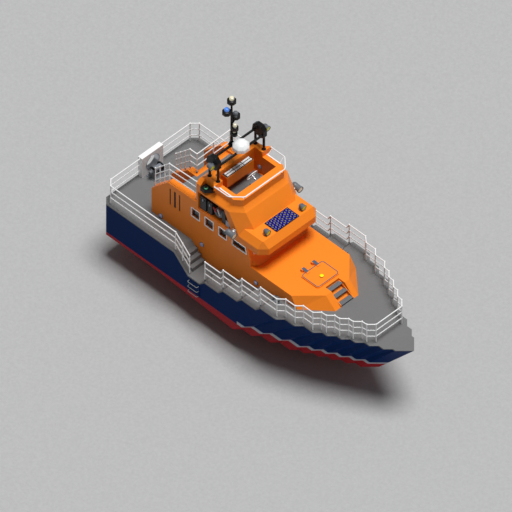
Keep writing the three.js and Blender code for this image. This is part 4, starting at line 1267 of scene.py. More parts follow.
@dataclass(frozen=True)
class ForeDeck(SubAssembly):
    """The fore trunk with its hatch and steps, and the bollards beside it.

    Args:
        rim_stations: the after and fore station of the rim on the hatch lid.
        rim_half: half its breadth.
        rim_cut: how much its corners are cut off.
        rim: the rim's width, depth and bend, in metres.
        hatch_top: the height of the lid's upper face.
        hinge: the station and height of the hinge pins.
        hinge_breadth: the breadth of the middle of a pin.
        pin_end: distance from the pin's middle and radius, in metres, from the shank out over the head.
        cap_outline: a hinge cap's outline, as station and height from the pin.
        cap_half: half its breadth.
        knob: the station and breadth of the knob that locks the lid.
        knob_profile: distance above the lid and radius, in metres.
        bollard: the station and breadth of the middle of a bollard.
        bollard_bed: half the length and half the breadth of its bed.
        bollard_reach: how far each post stands from the middle.
        bollard_profile: the profile of a post, above the bed.
        deck_height: the height of the fore deck.
        treads: for each tread its after station and the height of its lower face.
        tread_box: how deep a tread is from aft forward, and how thick.
        tread_ends: its starboard and port breadth.
        nose_radius: the radius of its rounded nose.
        ribs: the first rib's distance from the end, the step to the next, and a rib's half breadth and height.
        stringer: a stringer's outline as station and height.
        stringer_width: its breadth.
    """

    rim_stations: Point = (35.1, 38.65)
    rim_half: float = 2.25
    rim_cut: float = 0.3
    rim: Point = (0.028, 0.024, 0.02)
    hatch_top: float = 9.2
    hinge: Point = (34.35, 9.3)
    hinge_breadth: float = 1.1
    pin_end: tuple = ((0.09, 0.014), (0.094, 0.03), (0.105, 0.03), (0.11, 0.018))
    cap_outline: tuple = ((-0.2, -0.06), (-0.12, 0.16), (0.9, 0.08), (0.95, -0.1), (0.6, -0.12))
    cap_half: float = 0.262
    knob: Point = (37.4, -0.2)
    knob_profile: tuple = (
        (-0.004, 0.034), (0.022, 0.03), (0.03, 0.07), (0.045, 0.08), (0.06, 0.076), (0.068, 0.05), (0.07, 0.02),
    )
    bollard: Point = (34.75, 7.3)
    bollard_bed: Point = (0.9, 0.35)
    bollard_reach: float = 0.5
    bollard_profile: tuple = (
        (0.0, 0.05), (0.02, 0.045), (0.13, 0.045), (0.15, 0.062), (0.175, 0.062), (0.188, 0.05), (0.192, 0.02),
    )
    deck_height: float = 7.0
    treads: tuple = ((39.48, 8.61), (40.58, 7.91), (41.8, 7.21))
    tread_box: Point = (0.72, 0.12)
    tread_ends: Point = (-1.2, 1.4)
    nose_radius: float = 0.019
    ribs: Point = (0.15, 0.23, 0.03, 0.02)
    stringer: tuple = ((39.4, 8.74), (39.9, 8.74), (42.6, 7.3), (42.6, 7.01), (42.2, 7.01), (39.4, 8.55))
    stringer_width: float = 0.12

    def build(self) -> None:
        """Dresses the trunk and the hatch, and builds the steps and fittings."""
        self.dress(ORANGE, "fore_trunk", "fore_hatch")
        self.steps()
        self.hatch_rim()
        self.hinges()
        for side in Side:
            self.bollards(side)

    def steps(self) -> None:
        """Builds ribbed treads with rounded noses, carried by a stringer at each end."""
        (right, left), (depth, thickness) = self.tread_ends, self.tread_box
        first, step, rib_half, rib_height = self.ribs
        treads = []
        for aft, low in self.treads:
            front, high = aft + depth, low + thickness
            middle = high - thickness / 2
            treads.append(block((aft, front), (right, left), (low, high)))
            treads.append(tube(metres([(front, right, middle), (front, left, middle)]), self.nose_radius, 12))
            treads.extend(
                block((aft + 0.06, front - 0.04), (y - rib_half, y + rib_half), (high, high + rib_height))
                for y in np.arange(right + first, left, step)
            )
        width = self.stringer_width
        stringers = [
            prism(self.stringer, y - width / 2, y + width / 2, Plane.PROFILE, 1) for y in (right, left)
        ]
        whole = merge([*treads, *stringers])
        finished("ribbed_fore_steps", whole, [TREAD, ORANGE], "hull", ["fore_steps"], bevel=0.002)

    def hatch_rim(self) -> None:
        """Builds the grey rim on the lid, and the yellow locking knob."""
        (a, f), h, c, z = self.rim_stations, self.rim_half, self.rim_cut, self.hatch_top
        corners = [(a, -h + c, z), (a + c, -h, z), (f - c, -h, z), (f, -h + c, z),
                   (f, h - c, z), (f - c, h, z), (a + c, h, z), (a, h - c, z)]
        rim = outlined(corners, UPWARD, *self.rim)
        knob = lathe(self.knob_profile, metres((*self.knob, z)), UPWARD, 20, 1)
        finished("hatch_rim", rim + knob, [RIM_GREY, YELLOW], "fore_hatch", bevel=0.003, crease=40)

    def hinges(self) -> None:
        """Builds the hinge pins with their heads, and grey caps over the lid's arms."""
        x, z = self.hinge
        pin_profile = [(-along, radius) for along, radius in self.pin_end[::-1]] + [*self.pin_end]
        outline = [(x + ahead, z + rise) for ahead, rise in self.cap_outline]
        middles = (-self.hinge_breadth, self.hinge_breadth)
        pins = [lathe(pin_profile, metres((x, y, z)), ABEAM, 16) for y in middles]
        caps = [prism(outline, y - self.cap_half, y + self.cap_half, Plane.PROFILE, 1) for y in middles]
        finished("hatch_hinges", merge([*pins, *caps]), [GREY, RIM_GREY], "fore_hatch", bevel=0.004)

    def bollards(self, side: Side) -> None:
        """Builds a twin bollard on its bed."""
        (x, y), (length, breadth), z = self.bollard, self.bollard_bed, self.deck_height
        bed = block((x - length, x + length), (y - breadth, y + breadth), (z - 0.02, z + 0.12))
        feet = metres([(x + reach, y, z + 0.1) for reach in (-self.bollard_reach, self.bollard_reach)])
        posts = [lathe(self.bollard_profile, foot, UPWARD, 20) for foot in feet]
        finished(f"bollard_{side.word}", merge([bed, *posts]).on(side), [GREY], bevel=0.006)


@dataclass(frozen=True)
class Console:
    """A pedestal console with two screens, a throttle and a steering column.

    Args:
        word: upper or lower.
        stations: the after and fore station.
        breadths: the starboard and port breadth.
        heights: the lowest and highest.
        wheel: the station, breadth and height of the wheel's middle.
        lever_breadth: the breadth of the throttle.
        body: the finish of its body.
        slope: how far the face runs forward and down from the console's top edge.
        screens: where each screen starts and ends, as shares of the console's breadth.
        screen_inset: a screen's lower and upper edge, ahead of the after edge and below the top.
        screen_frame: the width, depth and bend of a screen's frame, in metres.
        lean: the direction that the screens face.
        column: how far the steering column reaches behind and past the wheel's middle, and its radius, in metres.
        lever_base: the profile of the throttle's base, above the top.
        lever: how far the throttle leans forward and rises, and its radius, in metres.
    """

    word: str
    stations: Point
    breadths: Point
    heights: Point
    wheel: Point
    lever_breadth: float
    body: Finish
    slope: Point = (0.3, 0.8)
    screens: tuple = ((0.06, 0.46), (0.54, 0.94))
    screen_inset: tuple = ((0.06, 0.66), (0.25, 0.14))
    screen_frame: Point = (0.018, 0.02, 0.012)
    lean: Point = (-0.8, 0.0, 0.3)
    column: Point = (0.27, 0.039, 0.034)
    lever_base: tuple = ((-0.004, 0.05), (0.02, 0.05), (0.035, 0.035))
    lever: Point = (0.02, 0.11, 0.009)

    def build(self) -> None:
        """Builds the console's body with everything on it."""
        (aft, front), (right, left), (low, high) = self.stations, self.breadths, self.heights
        ahead, down = self.slope
        outline = [(aft + 0.2, low), (front, low), (front, high), (aft + ahead, high), (aft, high - down)]
        shapes = [prism(outline, right, left, Plane.PROFILE)]
        for start, end in self.screens:
            shapes.append(self.screen(right + (left - right) * start, right + (left - right) * end))
        behind, past, column_radius = self.column
        middle = metres(self.wheel)
        shapes.append(tube([middle - WHEEL_AXIS * behind, middle + WHEEL_AXIS * past], column_radius, 16, tone=2))
        forward, rise, lever_radius = self.lever
        foot = metres((aft + 0.6, self.lever_breadth, high))
        shapes.append(lathe(self.lever_base, foot, UPWARD, 16))
        shapes.append(tube([foot, foot + forward * AHEAD + rise * UPWARD], lever_radius, 10, tone=2))
        finished(f"{self.word}_helm_stand", merge(shapes), [self.body, SCREEN, ALLOY], "hull",
                 [f"{self.word}_console"], bevel=0.008, crease=40)

    def screen(self, right: float, left: float) -> Shape:
        """Returns a framed screen between two breadths on the console's sloping face."""
        aft, high = self.stations[0], self.heights[1]
        (near, below), (far, above) = self.screen_inset
        near, far, below, above = aft + near, aft + far, high - below, high - above
        corners = [(near, right, below), (near, left, below), (far, left, above), (far, right, above)]
        lean = unit(self.lean)
        glass = metres(corners) + lean * 0.004
        return outlined(corners, lean, *self.screen_frame) + skin(np.stack([glass, glass - lean * 0.012]), tone=1)


@dataclass(frozen=True)
class HelmWheel:
    """A spoked wheel that faces aft and a little upwards.

    Args:
        node: the wheel's node and body.
        middle: the station, breadth and height of its middle.
        radius: the rim's radius in metres.
        finish: the rim's finish.
        rim_radius: half the rim's thickness.
        rise: how far the rim stands off the middle, in metres.
        hub_profile: distance from the middle and radius of the hub, in metres.
        spokes: how many spokes it has.
        spoke_foot: how far off the middle a spoke leaves the hub, in metres.
        spoke_radius: in metres.
    """

    node: str
    middle: Point
    radius: float
    finish: Finish
    rim_radius: float = 0.018
    rise: float = 0.08
    hub_profile: tuple = ((0.04, 0.03), (0.042, 0.045), (0.085, 0.045), (0.1, 0.03), (0.104, 0.008))
    spokes: int = 3
    spoke_foot: float = 0.065
    spoke_radius: float = 0.01

    def build(self) -> None:
        """Builds the rim, the hub and the spokes."""
        plane = np.stack([ABEAM, np.cross(WHEEL_AXIS, ABEAM)])
        centre = metres(self.middle)
        face = centre + self.rise * WHEEL_AXIS
        rim = sweep(face + circle(self.radius, 48) @ plane, circle(self.rim_radius, 12), WHEEL_AXIS, closed=True)
        hub = lathe(self.hub_profile, centre, WHEEL_AXIS, 24, 1)
        tips = face + circle(self.radius - 0.004, self.spokes, 0.75) @ plane
        foot = centre + self.spoke_foot * WHEEL_AXIS
        spokes = [tube([foot, tip], self.spoke_radius, 10, tone=1) for tip in tips]
        finished(f"{self.node}_rim", merge([rim, hub, *spokes]), [self.finish, ALLOY], self.node, [self.node],
                 crease=45)


def taken(piece: bpy.types.Object) -> bpy.types.Mesh:
    """Returns a copy of a piece's mesh with its modifiers applied."""
    return bpy.data.meshes.new_from_object(piece.evaluated_get(bpy.context.evaluated_depsgraph_get()))


def points_of(mesh: bpy.types.Mesh) -> np.ndarray:
    """Returns the points of a mesh."""
    points = np.empty(len(mesh.vertices) * 3)
    mesh.vertices.foreach_get("co", points)
    return points.reshape(-1, 3)


@dataclass(frozen=True)
class Cushion:
    """A stuffed pad, swollen as cloth from its plain block.

    Args:
        name: the piece's name.
        shape: the plain block.
        cloth: its finish.
        voxel: the size of its faces in metres.
        cap: how far a point may move, in metres.
        bevel: the width of the block's rounded edges in metres.
        pressure: the pressure in the cloth.
        frames: how many frames the cloth is run for.
    """

    name: str
    shape: Shape
    cloth: Finish
    voxel: float
    cap: float
    bevel: float = 0.02
    pressure: float = 4.0
    frames: int = 20

    def build(self) -> None:
        """Builds the pad, and swells it."""
        pad = finished(self.name, self.shape, [self.cloth], bevel=self.bevel)
        pad.modifiers["rounded edges"].segments = 3
        self.swell(pad)

    def swell(self, pad: bpy.types.Object) -> None:
        """Remeshes the pad evenly, runs it as cloth under pressure, and caps how far each point moves."""
        even = pad.modifiers.new("even faces", "REMESH")
        even.mode = "VOXEL"
        even.voxel_size = self.voxel
        mesh = taken(pad)
        pad.modifiers.clear()
        pad.data = mesh
        rest = points_of(mesh)
        swelling = pad.modifiers.new("swelling", "CLOTH")
        swelling.settings.use_pressure = True
        swelling.settings.uniform_pressure_force = self.pressure
        swelling.settings.effector_weights.gravity = 0.0
        swelling.point_cache.frame_start = 1
        swelling.point_cache.frame_end = self.frames
        for frame in range(1, self.frames + 1):
            bpy.context.scene.frame_set(frame)
        moved = points_of(taken(pad)) - rest
        far = np.linalg.norm(moved, axis=-1, keepdims=True)
        points = rest + moved * np.minimum(1.0, self.cap / np.maximum(far, TINY))
        pad.modifiers.clear()
        mesh.vertices.foreach_set("co", points.ravel())
        mesh.polygons.foreach_set("use_smooth", np.ones(len(mesh.polygons), bool))
        mesh.update()
        smooth = pad.modifiers.new("finer faces", "SUBSURF")
        smooth.levels = smooth.render_levels = 1
        bpy.context.scene.frame_set(1)


@dataclass(frozen=True)
class UpperHelm(SubAssembly):
    """The open helm: the rail on its coaming, the padded back rest, the console and the wheel.

    Args:
        rail_path: the rail's corners as station and breadth, from its port end to the middle of its front.
        posts: for each post the station and breadth of its head and of its foot.
        rail_height: the height of the rail's middle.
        rail_radius: in metres.
        coaming_top: the height that the posts stand on.
        strip: the after and fore station, the inner and outer breadth of the strip under the side posts.
        rest_stations: the after and fore station of the back rest's box.
        rest_breadths: its starboard and port breadth.
        rest_heights: its lowest and highest.
        pad_box: the stations and breadths that the pads cover.
        pad_rows: rows of pads from aft forward.
        pad_columns: columns of pads from starboard to port.
        pad_gap: the gap between pads.
        pad_thickness: how far the pads stand above the box.
        wall_lamp: the station, breadth and height of the lamp on the port wall.
        wheel: those of the wheel's middle.
    """

    rail_path: tuple = ((20.27, 6.05), (23.25, 6.05), (25.1, 4.3), (25.1, 0.0))
    posts: tuple = (((20.6, 6.05), (20.6, 5.1)), ((23.1, 6.05), (23.1, 5.1)), ((25.1, 3.9), (24.5, 3.9)))
    rail_height: float = 20.4
    rail_radius: float = 0.022
    coaming_top: float = 19.5
    strip: tuple = ((20.35, 23.3), (5.0, 5.2))
    rest_stations: Point = (18.602, 19.8)
    rest_breadths: Point = (-2.85, 2.85)
    rest_heights: Point = (17.6, 19.65)
    pad_box: tuple = ((18.76, 19.8), (-2.75, 2.75))
    pad_rows: int = 2
    pad_columns: int = 3
    pad_gap: float = 0.1
    pad_thickness: float = 0.2
    wall_lamp: Point = (19.7, 4.25, 17.1)
    wheel: Point = (21.95, 0.6, 19.05)

    def build(self) -> None:
        """Builds the helm."""
        self.rail()
        self.back_rest()
        lamp_rows = [(-0.004, 0.1), (0.02, 0.1), (0.03, 0.088)]
        lens_rows = [(0.025, 0.084), (0.045, 0.076), (0.06, 0.05), (0.066, 0.014)]
        lamp = metres(self.wall_lamp)
        shape = lathe(lamp_rows, lamp, -ABEAM, 20) + lathe(lens_rows, lamp, -ABEAM, 20, 1)
        finished("helm_wall_lamp", shape, [GREY, LILAC_LENS])
        Console("upper", (22.35, 23.148), (-0.8, 1.8), (15.851, 19.1), self.wheel, 0.89, DECK).build()
        HelmWheel("upper_wheel", self.wheel, 0.25, WHITE).build()

    def rail(self) -> None:
        """Builds the rail, posts that lean out to it, and the strips along the coaming that they stand on."""
        z, low = self.rail_height, self.coaming_top
        path = [(x, y, z) for x, y in self.rail_path]
        starboard = [(x, -y, z) for x, y, _ in path[-2::-1]]
        bar = tube(metres([*path, *starboard]), self.rail_radius, 12, 0.09)
        half = []
        for head, foot in self.posts:
            line = metres([(*foot, low + 0.05), (*foot, low + 0.2), (*head, z)])
            half.append(tube(line, 0.014, 10, 0.03))
            half.append(lathe([(0.001, 0.036), (0.042, 0.036), (0.05, 0.02)], metres((*foot, low)), UPWARD, 14))
        half.append(block(*self.strip, (low + 0.002, low + 0.14)))
        half.append(lathe([(0.001, 0.036), (0.01, 0.036), (0.014, 0.024)], metres((20.25, 6.05, z)), AHEAD, 14))
        across = block((24.4, 24.6), (-4.1, 4.1), (low + 0.002, low + 0.14))
        port = merge(half)
        shapes = [bar, across, port, port.mirrored()]
        finished("helm_rail_tube", merge(shapes), [WHITE], "hull", ["helm_rail"], bevel=0.003, crease=45)

    def back_rest(self) -> None:
        """Builds the orange box of the back rest with its black top, and the white pads on it."""
        (aft, front), (right, left), (low, high) = self.rest_stations, self.rest_breadths, self.rest_heights
        box = block((aft, front), (right, left), (low, high))
        top = block((aft + 0.06, front - 0.04), (right + 0.04, left - 0.04), (high - 0.02, high + 0.05), 1)
        finished("back_rest_box", box + top, [ORANGE, PLASTIC], "hull", ["helm_backrest"], bevel=0.008)
        (aft, front), (right, left) = self.pad_box
        length = (front - aft - self.pad_gap * (self.pad_rows + 1)) / self.pad_rows
        width = (left - right - self.pad_gap * (self.pad_columns + 1)) / self.pad_columns
        low, high = high + 0.05, high + 0.05 + self.pad_thickness
        for row in range(self.pad_rows):
            for column in range(self.pad_columns):
                x = aft + self.pad_gap + row * (length + self.pad_gap)
                y = right + self.pad_gap + column * (width + self.pad_gap)
                pad = block((x, x + length), (y, y + width), (low, high))
                Cushion(f"rest_pad_{row + 1}_{column + 1}", pad, PAD_CLOTH, 0.006, 0.006).build()


@dataclass(frozen=True)
class MastArch(SubAssembly):
    """The arch over the helm, the mast with its lamps and the radar dome.

    Args:
        legs: the after and fore station of the legs.
        half: the breadth of the legs.
        foot: the height that they stand on.
        leg_top: the height that they reach.
        leg_radius: in metres.
        beam: the height of the beams.
        beam_radius: in metres.
        plate_rise: how far above the beams' middle the upper face of the mast's plate lies.
        head_outline: an end piece's outline as station and height.
        head_breadths: its inner and outer breadth.
        mast_station: the station of the mast.
        mast_top: its height.
        lamps: for each lamp how far it stands ahead, its breadth, its height and its radius in metres.
        dome_station: the station of the radar dome.
        dome_radius: in metres.
    """

    legs: Point = (18.1, 19.9)
    half: float = 4.9
    foot: float = 20.5
    leg_top: float = 24.4
    leg_radius: float = 0.052
    beam: float = 23.7
    beam_radius: float = 0.05
    plate_rise: float = 0.2
    head_outline: tuple = (
        (17.7, 23.5), (19.6, 22.9), (20.2, 23.3), (20.2, 24.6), (19.6, 25.3), (18.5, 25.3), (17.9, 24.8),
    )
    head_breadths: Point = (4.5, 5.3)
    mast_station: float = 17.9
    mast_top: float = 32.6
    lamps: tuple = (
        (0.0, 0.0, 32.3, 0.19), (-0.1, -0.95, 30.5, 0.19), (-0.1, 0.95, 28.4, 0.19), (0.7, 0.0, 27.0, 0.15),
        (0.6, 0.0, 25.75, 0.13),
    )
    dome_station: float = 19.9
    dome_radius: float = 0.35

    def build(self) -> None:
        """Builds the arch, the mast and the dome."""
        self.arch()
        self.mast()
        self.dome()

    def arch(self) -> None:
        """Builds four legs with foot flanges, two beams, the end pieces and the plate that carries the mast."""
        rise = (self.leg_top - self.foot) * SPACING
        shapes = []
        for station in self.legs:
            for breadth in (-self.half, self.half):
                foot = metres((station, breadth, self.foot))
                shapes.append(lathe([(0.0, self.leg_radius), (rise, self.leg_radius)], foot, UPWARD, 20))
                shapes.append(lathe([(0.001, 0.09), (0.012, 0.09), (0.02, 0.06)], foot, UPWARD, 20))
            ends = metres([(station, -self.half, self.beam), (station, self.half, self.beam)])
            shapes.append(tube(ends, self.beam_radius, 20))
        head = prism(self.head_outline, *self.head_breadths, Plane.PROFILE)
        aft, front = self.legs
        plate = block((aft - 0.5, front + 0.2), (-0.5, 0.5), (self.beam - 0.1, self.beam + self.plate_rise))
        whole = merge([*shapes, head, head.mirrored(), plate])
        finished("arch_frame", whole, [BLACK], "hull", ["mast_arch"], bevel=0.012)

    def mast(self) -> None:
        """Builds the tapered pole and its lamps: each an eight-sided housing with a small lens, on a slanting arm."""
        foot = metres((self.mast_station, 0, self.beam + self.plate_rise))
        top = (self.mast_top - self.beam - self.plate_rise) * SPACING
        shapes = [lathe([(0.001, 0.1), (0.02, 0.1), (0.03, 0.058), (top, 0.038)], foot, UPWARD, 20)]
        housing = [(0.0, 0.5), (0.06, 0.97), (0.07, 1.0), (0.2, 1.0), (0.215, 0.93), (0.24, 0.62)]
        lens = [(0.23, 0.56), (0.31, 0.56), (0.35, 0.42), (0.368, 0.15)]
        for tone, (ahead, breadth, height, radius) in enumerate(self.lamps, 1):
            middle = metres((self.mast_station + ahead, breadth, height))
            shapes.append(lathe([(rise, share * radius) for rise, share in housing], middle, UPWARD, 8))
            shapes.append(lathe([(rise, share * radius) for rise, share in lens], middle, UPWARD, 8, tone))
            shapes.append(tube([metres((self.mast_station, 0, height - 0.4)), middle + (0, 0, 0.05)], 0.045, 12))
        lenses = [CREAM_LENS, BLUE_LENS, GREY, CREAM_LENS, CREAM_LENS]
        finished("mast_with_lamps", merge(shapes), [BLACK, *lenses], "hull", ["mast"], bevel=0.006)

    def dome(self) -> None:
        """Builds the eight-sided dome on its foot."""
        foot = metres((self.dome_station, 0, self.beam + self.plate_rise))
        base = lathe([(0.001, 0.16), (0.05, 0.16)], foot, UPWARD, 24, 1)
        profile = [(0.04, 0.8), (0.07, 1.0), (0.23, 1.0), (0.36, 0.73), (0.43, 0.34), (0.439, 0.1)]
        shell = lathe([(rise, share * self.dome_radius) for rise, share in profile], foot, UPWARD, 8)
        finished("radar_dome_shell", shell + base, [SHELL, PLASTIC], "hull", ["radar_dome"], bevel=0.02)


@dataclass(frozen=True)
class Lamps(SubAssembly):
    """The floodlights on the brow and the arch, the searchlights and the sidelights.

    Args:
        brow: the station, breadth and height of a brow floodlight's foot.
        arch: the station, breadth and height of an arch floodlight's middle.
        search: the station, breadth and height of a searchlight's after end.
        tray: the sidelight tray's after and fore station, inner and outer breadth, and heights.
    """

    brow: Point = (29.2, 3.8, 15.0)
    arch: Point = (19.3, 5.95, 24.1)
    search: Point = (23.9, 7.1, 14.4)
    tray: tuple = ((17.7, 19.6), (5.302, 6.55), (18.2, 18.85))

    def build(self) -> None:
        """Builds the lamps of both sides."""
        for side in Side:
            self.brow_floodlight(side)
            self.arch_floodlight(side)
            self.searchlight(side)
            self.sidelight(side)

    @staticmethod
    def flood_housing(back: np.ndarray, way: Point, length: float) -> Shape:
        """Builds a round finned housing with a rim and a yellow lens."""
        fins = [(0.0, 0.06), (0.012, 0.075), (0.05, 0.1)]
        for start in 0.06 + 0.026 * np.arange(4):
            fins += [(start, 0.103), (start + 0.002, 0.113), (start + 0.012, 0.113), (start + 0.014, 0.103)]
        rim = [(length - 0.07, 0.106), (length - 0.06, 0.125), (length, 0.127), (length + 0.002, 0.114),
               (length - 0.02, 0.108)]
        lens = [(length - 0.03, 0.108), (length - 0.012, 0.106), (length - 0.002, 0.08), (length + 0.004, 0.03)]
        return lathe([*fins, *rim], back, way, 28) + lathe(lens, back, way, 28, 1)

    def brow_floodlight(self, side: Side) -> None:
        """Builds a floodlight in its fork on the brow."""
        x, y, z = self.brow
        back, way = metres((x - 0.5, y, z + 0.6)), unit((1.1, 0, -0.08))
        right, left, low, high = y - 0.54, y + 0.54, z + 0.06, z + 0.6
        line = metres([(x, right, high), (x, right, low), (x, left, low), (x, left, high)])
        fork = sweep(rounded(line, 0.04), flat_bar(0.006, 0.04), AHEAD)
        foot = lathe([(0.001, 0.05), (0.01, 0.05), (0.014, 0.03)], metres((x, y, z)), UPWARD, 20)
        name = f"brow_floodlight_{side.word}"
        whole = self.flood_housing(back, way, 0.24) + fork + foot
        finished(f"lit_{name}", whole.on(side), [GREY, YELLOW_LENS], "hull", [name], bevel=0.002)

    def arch_floodlight(self, side: Side) -> None:
        """Builds a floodlight on the outer face of the arch."""
        x, y, z = self.arch
        back, way = metres((x - 0.6, y, z)), unit((1.6, 0, -0.15))
        arm = block((x - 0.2, x + 0.2), (5.29, 5.75), (z - 0.15, z + 0.15))
        name = f"arch_floodlight_{side.word}"
        whole = self.flood_housing(back, way, 0.28) + arm
        finished(f"lit_{name}", whole.on(side), [GREY, YELLOW_LENS], "hull", [name], bevel=0.003)

    def searchlight(self, side: Side) -> None:
        """Builds a long lamp on a white bracket beside the cabin."""
        x, y, z = self.search
        back, way = metres((x, y, z)), unit((2, 0, -0.2))
        rows = [(0, 0.08), (0.012, 0.095), (0.06, 0.122), (0.1, 0.125), (0.11, 0.13), (0.13, 0.13), (0.14, 0.125),
                (0.32, 0.125), (0.38, 0.143), (0.43, 0.145), (0.432, 0.132), (0.4, 0.126)]
        body = lathe(rows, back, way, 28)
        lens = lathe([(0.38, 0.127), (0.41, 0.124), (0.424, 0.09), (0.43, 0.03)], back, way, 28, 1)
        arm = block((24.6, 24.9), (6.2, 6.75), (14.15, 14.45), tone=2)
        pad = block((24.45, 25.05), (6.24, 6.3), (13.95, 14.65), tone=2)
        name = f"searchlight_{side.word}"
        whole = merge([body, lens, arm, pad])
        finished(f"lit_{name}", whole.on(side), [GREY, CREAM_LENS, WHITE], "hull", [name], bevel=0.003)

    def sidelight(self, side: Side) -> None:
        """Builds the black tray against the tower, and the coloured lamp on it."""
        (aft, front), (inner, outer), (low, high) = self.tray
        outline = [(aft, inner), (front, inner), (front, inner + 0.05), (front - 1.0, outer), (aft, outer)]
        tray = prism(outline, low, high)
        lamp = metres((18.5, 6.1, high))
        base = lathe([(-0.004, 0.09), (0.012, 0.09), (0.016, 0.08)], lamp, UPWARD, 24)
        lens = lathe([(0.01, 0.078), (0.07, 0.08), (0.08, 0.06)], lamp, UPWARD, 24, 1)
        cap = lathe([(0.075, 0.07), (0.085, 0.07), (0.095, 0.05), (0.1, 0.01)], lamp, UPWARD, 24)
        name = f"sidelight_{side.word}"
        lens_finish = RED_LENS if side is Side.PORT else GREEN_LENS
        whole = merge([tray, base, lens, cap])
        finished(f"tray_{name}", whole.on(side), [BLACK, lens_finish], "hull", [name], bevel=0.006)


@dataclass(frozen=True)
class SideLockers(SubAssembly):
    """What stands in the open lockers on both sides of the tower.

    Args:
        back: the breadth of the gear's back, just off the lockers' inner wall.
        floor: the height of their floor.
        coil_middle: the station, breadth and height of the middle of the hose coil.
        coil_radii: the radii of the coil's layers.
        hose_radius: in metres.
        nozzle_radius: in metres.
    """

    back: float = 4.652
    floor: float = 13.6
    coil_middle: Point = (20.75, 5.55, 14.9)
    coil_radii: tuple = (0.13, 0.16, 0.19)
    hose_radius: float = 0.017
    nozzle_radius: float = 0.026

    def build(self) -> None:
        """Builds the gear of both sides."""
        for side in Side:
            self.gear(side)

    def standing(self, stations: Point, outer: float, top: float, tone: int = 0) -> Shape:
        """Returns a block that stands on the tray, a little off the locker's back."""
        return block(stations, (self.back + 0.1, outer), (self.floor + 0.1, top), tone)

    def gear(self, side: Side) -> None:
        """Builds two boxes with latches, a hose coil on a reel, a panel and a plate, on an orange tray."""
        tray = block((17.1, 23.8), (self.back, 6.1), (self.floor + 0.001, self.floor + 0.15), tone=3)
        boxes, lids, latches = [], [], []
        for aft, front, outer, top, latch in ((17.2, 18.45, 6.05, 16.4, 17.72), (18.7, 19.65, 5.95, 16.2, 19.08)):
            boxes.append(self.standing((aft, front), outer, top))
            lids.append(block((aft - 0.05, front + 0.05), (self.back + 0.05, outer + 0.05), (top - 0.5, top - 0.38)))
            latches.append(block((latch, latch + 0.2), (outer - 0.05, outer + 0.09), (top - 0.8, top - 0.3), 1))
        panel, plate = self.standing((21.7, 22.45), 5.9, 16.3), self.standing((22.6, 23.4), 6.0, 14.9, 1)
        middle = metres(self.coil_middle)
        turns = []
        for radius in self.coil_radii:
            for shift in (-0.035, 0.0, 0.035):
                path = middle + shift * ABEAM + np.insert(circle(radius, 40), 1, 0.0, axis=1)
                turns.append(sweep(path, circle(self.hose_radius, 10), ABEAM, closed=True, tone=2))
        reel = lathe([(-0.09, 0.03), (-0.09, 0.11), (0.06, 0.11), (0.07, 0.03)], middle, ABEAM)
        stand = self.standing((20.5, 21.0), 5.3, 14.7)
        nozzle = tube(metres([(19.9, 5.9, 15.75), (20.5, 5.95, 15.1)]), self.nozzle_radius, 14, tone=4)
        branch = tube(metres([(20.9, 5.95, 15.9), (21.3, 5.95, 14.9)]), self.nozzle_radius, 14, tone=5)
        shapes = [tray, *boxes, *lids, *latches, panel, plate, reel, stand, *turns, nozzle, branch]
        name = f"locker_gear_{side.word}"
        finishes = [PLASTIC, LOCKER_GREY, HOSE, ORANGE, RED_LENS, WHITE]
        finished(f"stowed_{name}", merge(shapes).on(side), finishes, "hull", [name], bevel=0.006)


@dataclass(frozen=True)
class Wheelhouse(SubAssembly):
    """The inside: the console with its wheel, and two seats.

    Args:
        seat: the station and breadth of a seat.
        floor: the height of the floor.
        wheel: the station, breadth and height of the wheel's middle.
    """

    seat: Point = (22.8, 2.6)
    floor: float = 6.4
    wheel: Point = (25.3, -2.6, 9.6)

    def build(self) -> None:
        """Builds the console, the wheel and the seats."""
        Console("lower", (25.7, 27.1), (-4.6, 4.6), (self.floor, 10.2), self.wheel, 2.6, PLASTIC).build()
        HelmWheel("lower_wheel", self.wheel, 0.19, PLASTIC).build()
        for side in Side:
            self.seats(side)

    def seats(self, side: Side) -> None:
        """Builds a seat: a pedestal, a padded seat and a padded back."""
        x, y = self.seat
        y *= side.value
        foot = metres((x, y, self.floor))
        rows = [(0.001, 0.17), (0.02, 0.17), (0.04, 0.09), (0.1, 0.07), (0.36, 0.07), (0.38, 0.12), (0.39, 0.12)]
        pan = block((x - 0.85, x + 0.85), (y - 0.82, y + 0.82), (7.9, 8.0))
        outline = [(x - 0.85, 7.92), (x - 0.6, 7.92), (x - 1.0, 11.0), (x - 1.12, 11.0)]
        stay = prism(outline, y - 0.15, y + 0.15, Plane.PROFILE)
        pedestal = merge([lathe(rows, foot, UPWARD, 24), pan, stay])
        finished(f"seat_pedestal_{side.word}", pedestal, [ALLOY], "hull", [f"seat_{side.word}"], bevel=0.008)
        pad = block((x - 0.8, x + 0.85), (y - 0.8, y + 0.8), (8.0, 8.4))
        Cushion(f"seat_pad_{side.word}", pad, SEAT_CLOTH, 0.008, 0.016).build()
        outline = [(x - 0.83, 8.5), (x - 0.45, 8.5), (x - 0.85, 11.2), (x - 1.15, 11.2)]
        back = prism(outline, y - 0.75, y + 0.75, Plane.PROFILE)
        Cushion(f"seat_back_{side.word}", back, SEAT_CLOTH, 0.008, 0.014).build()


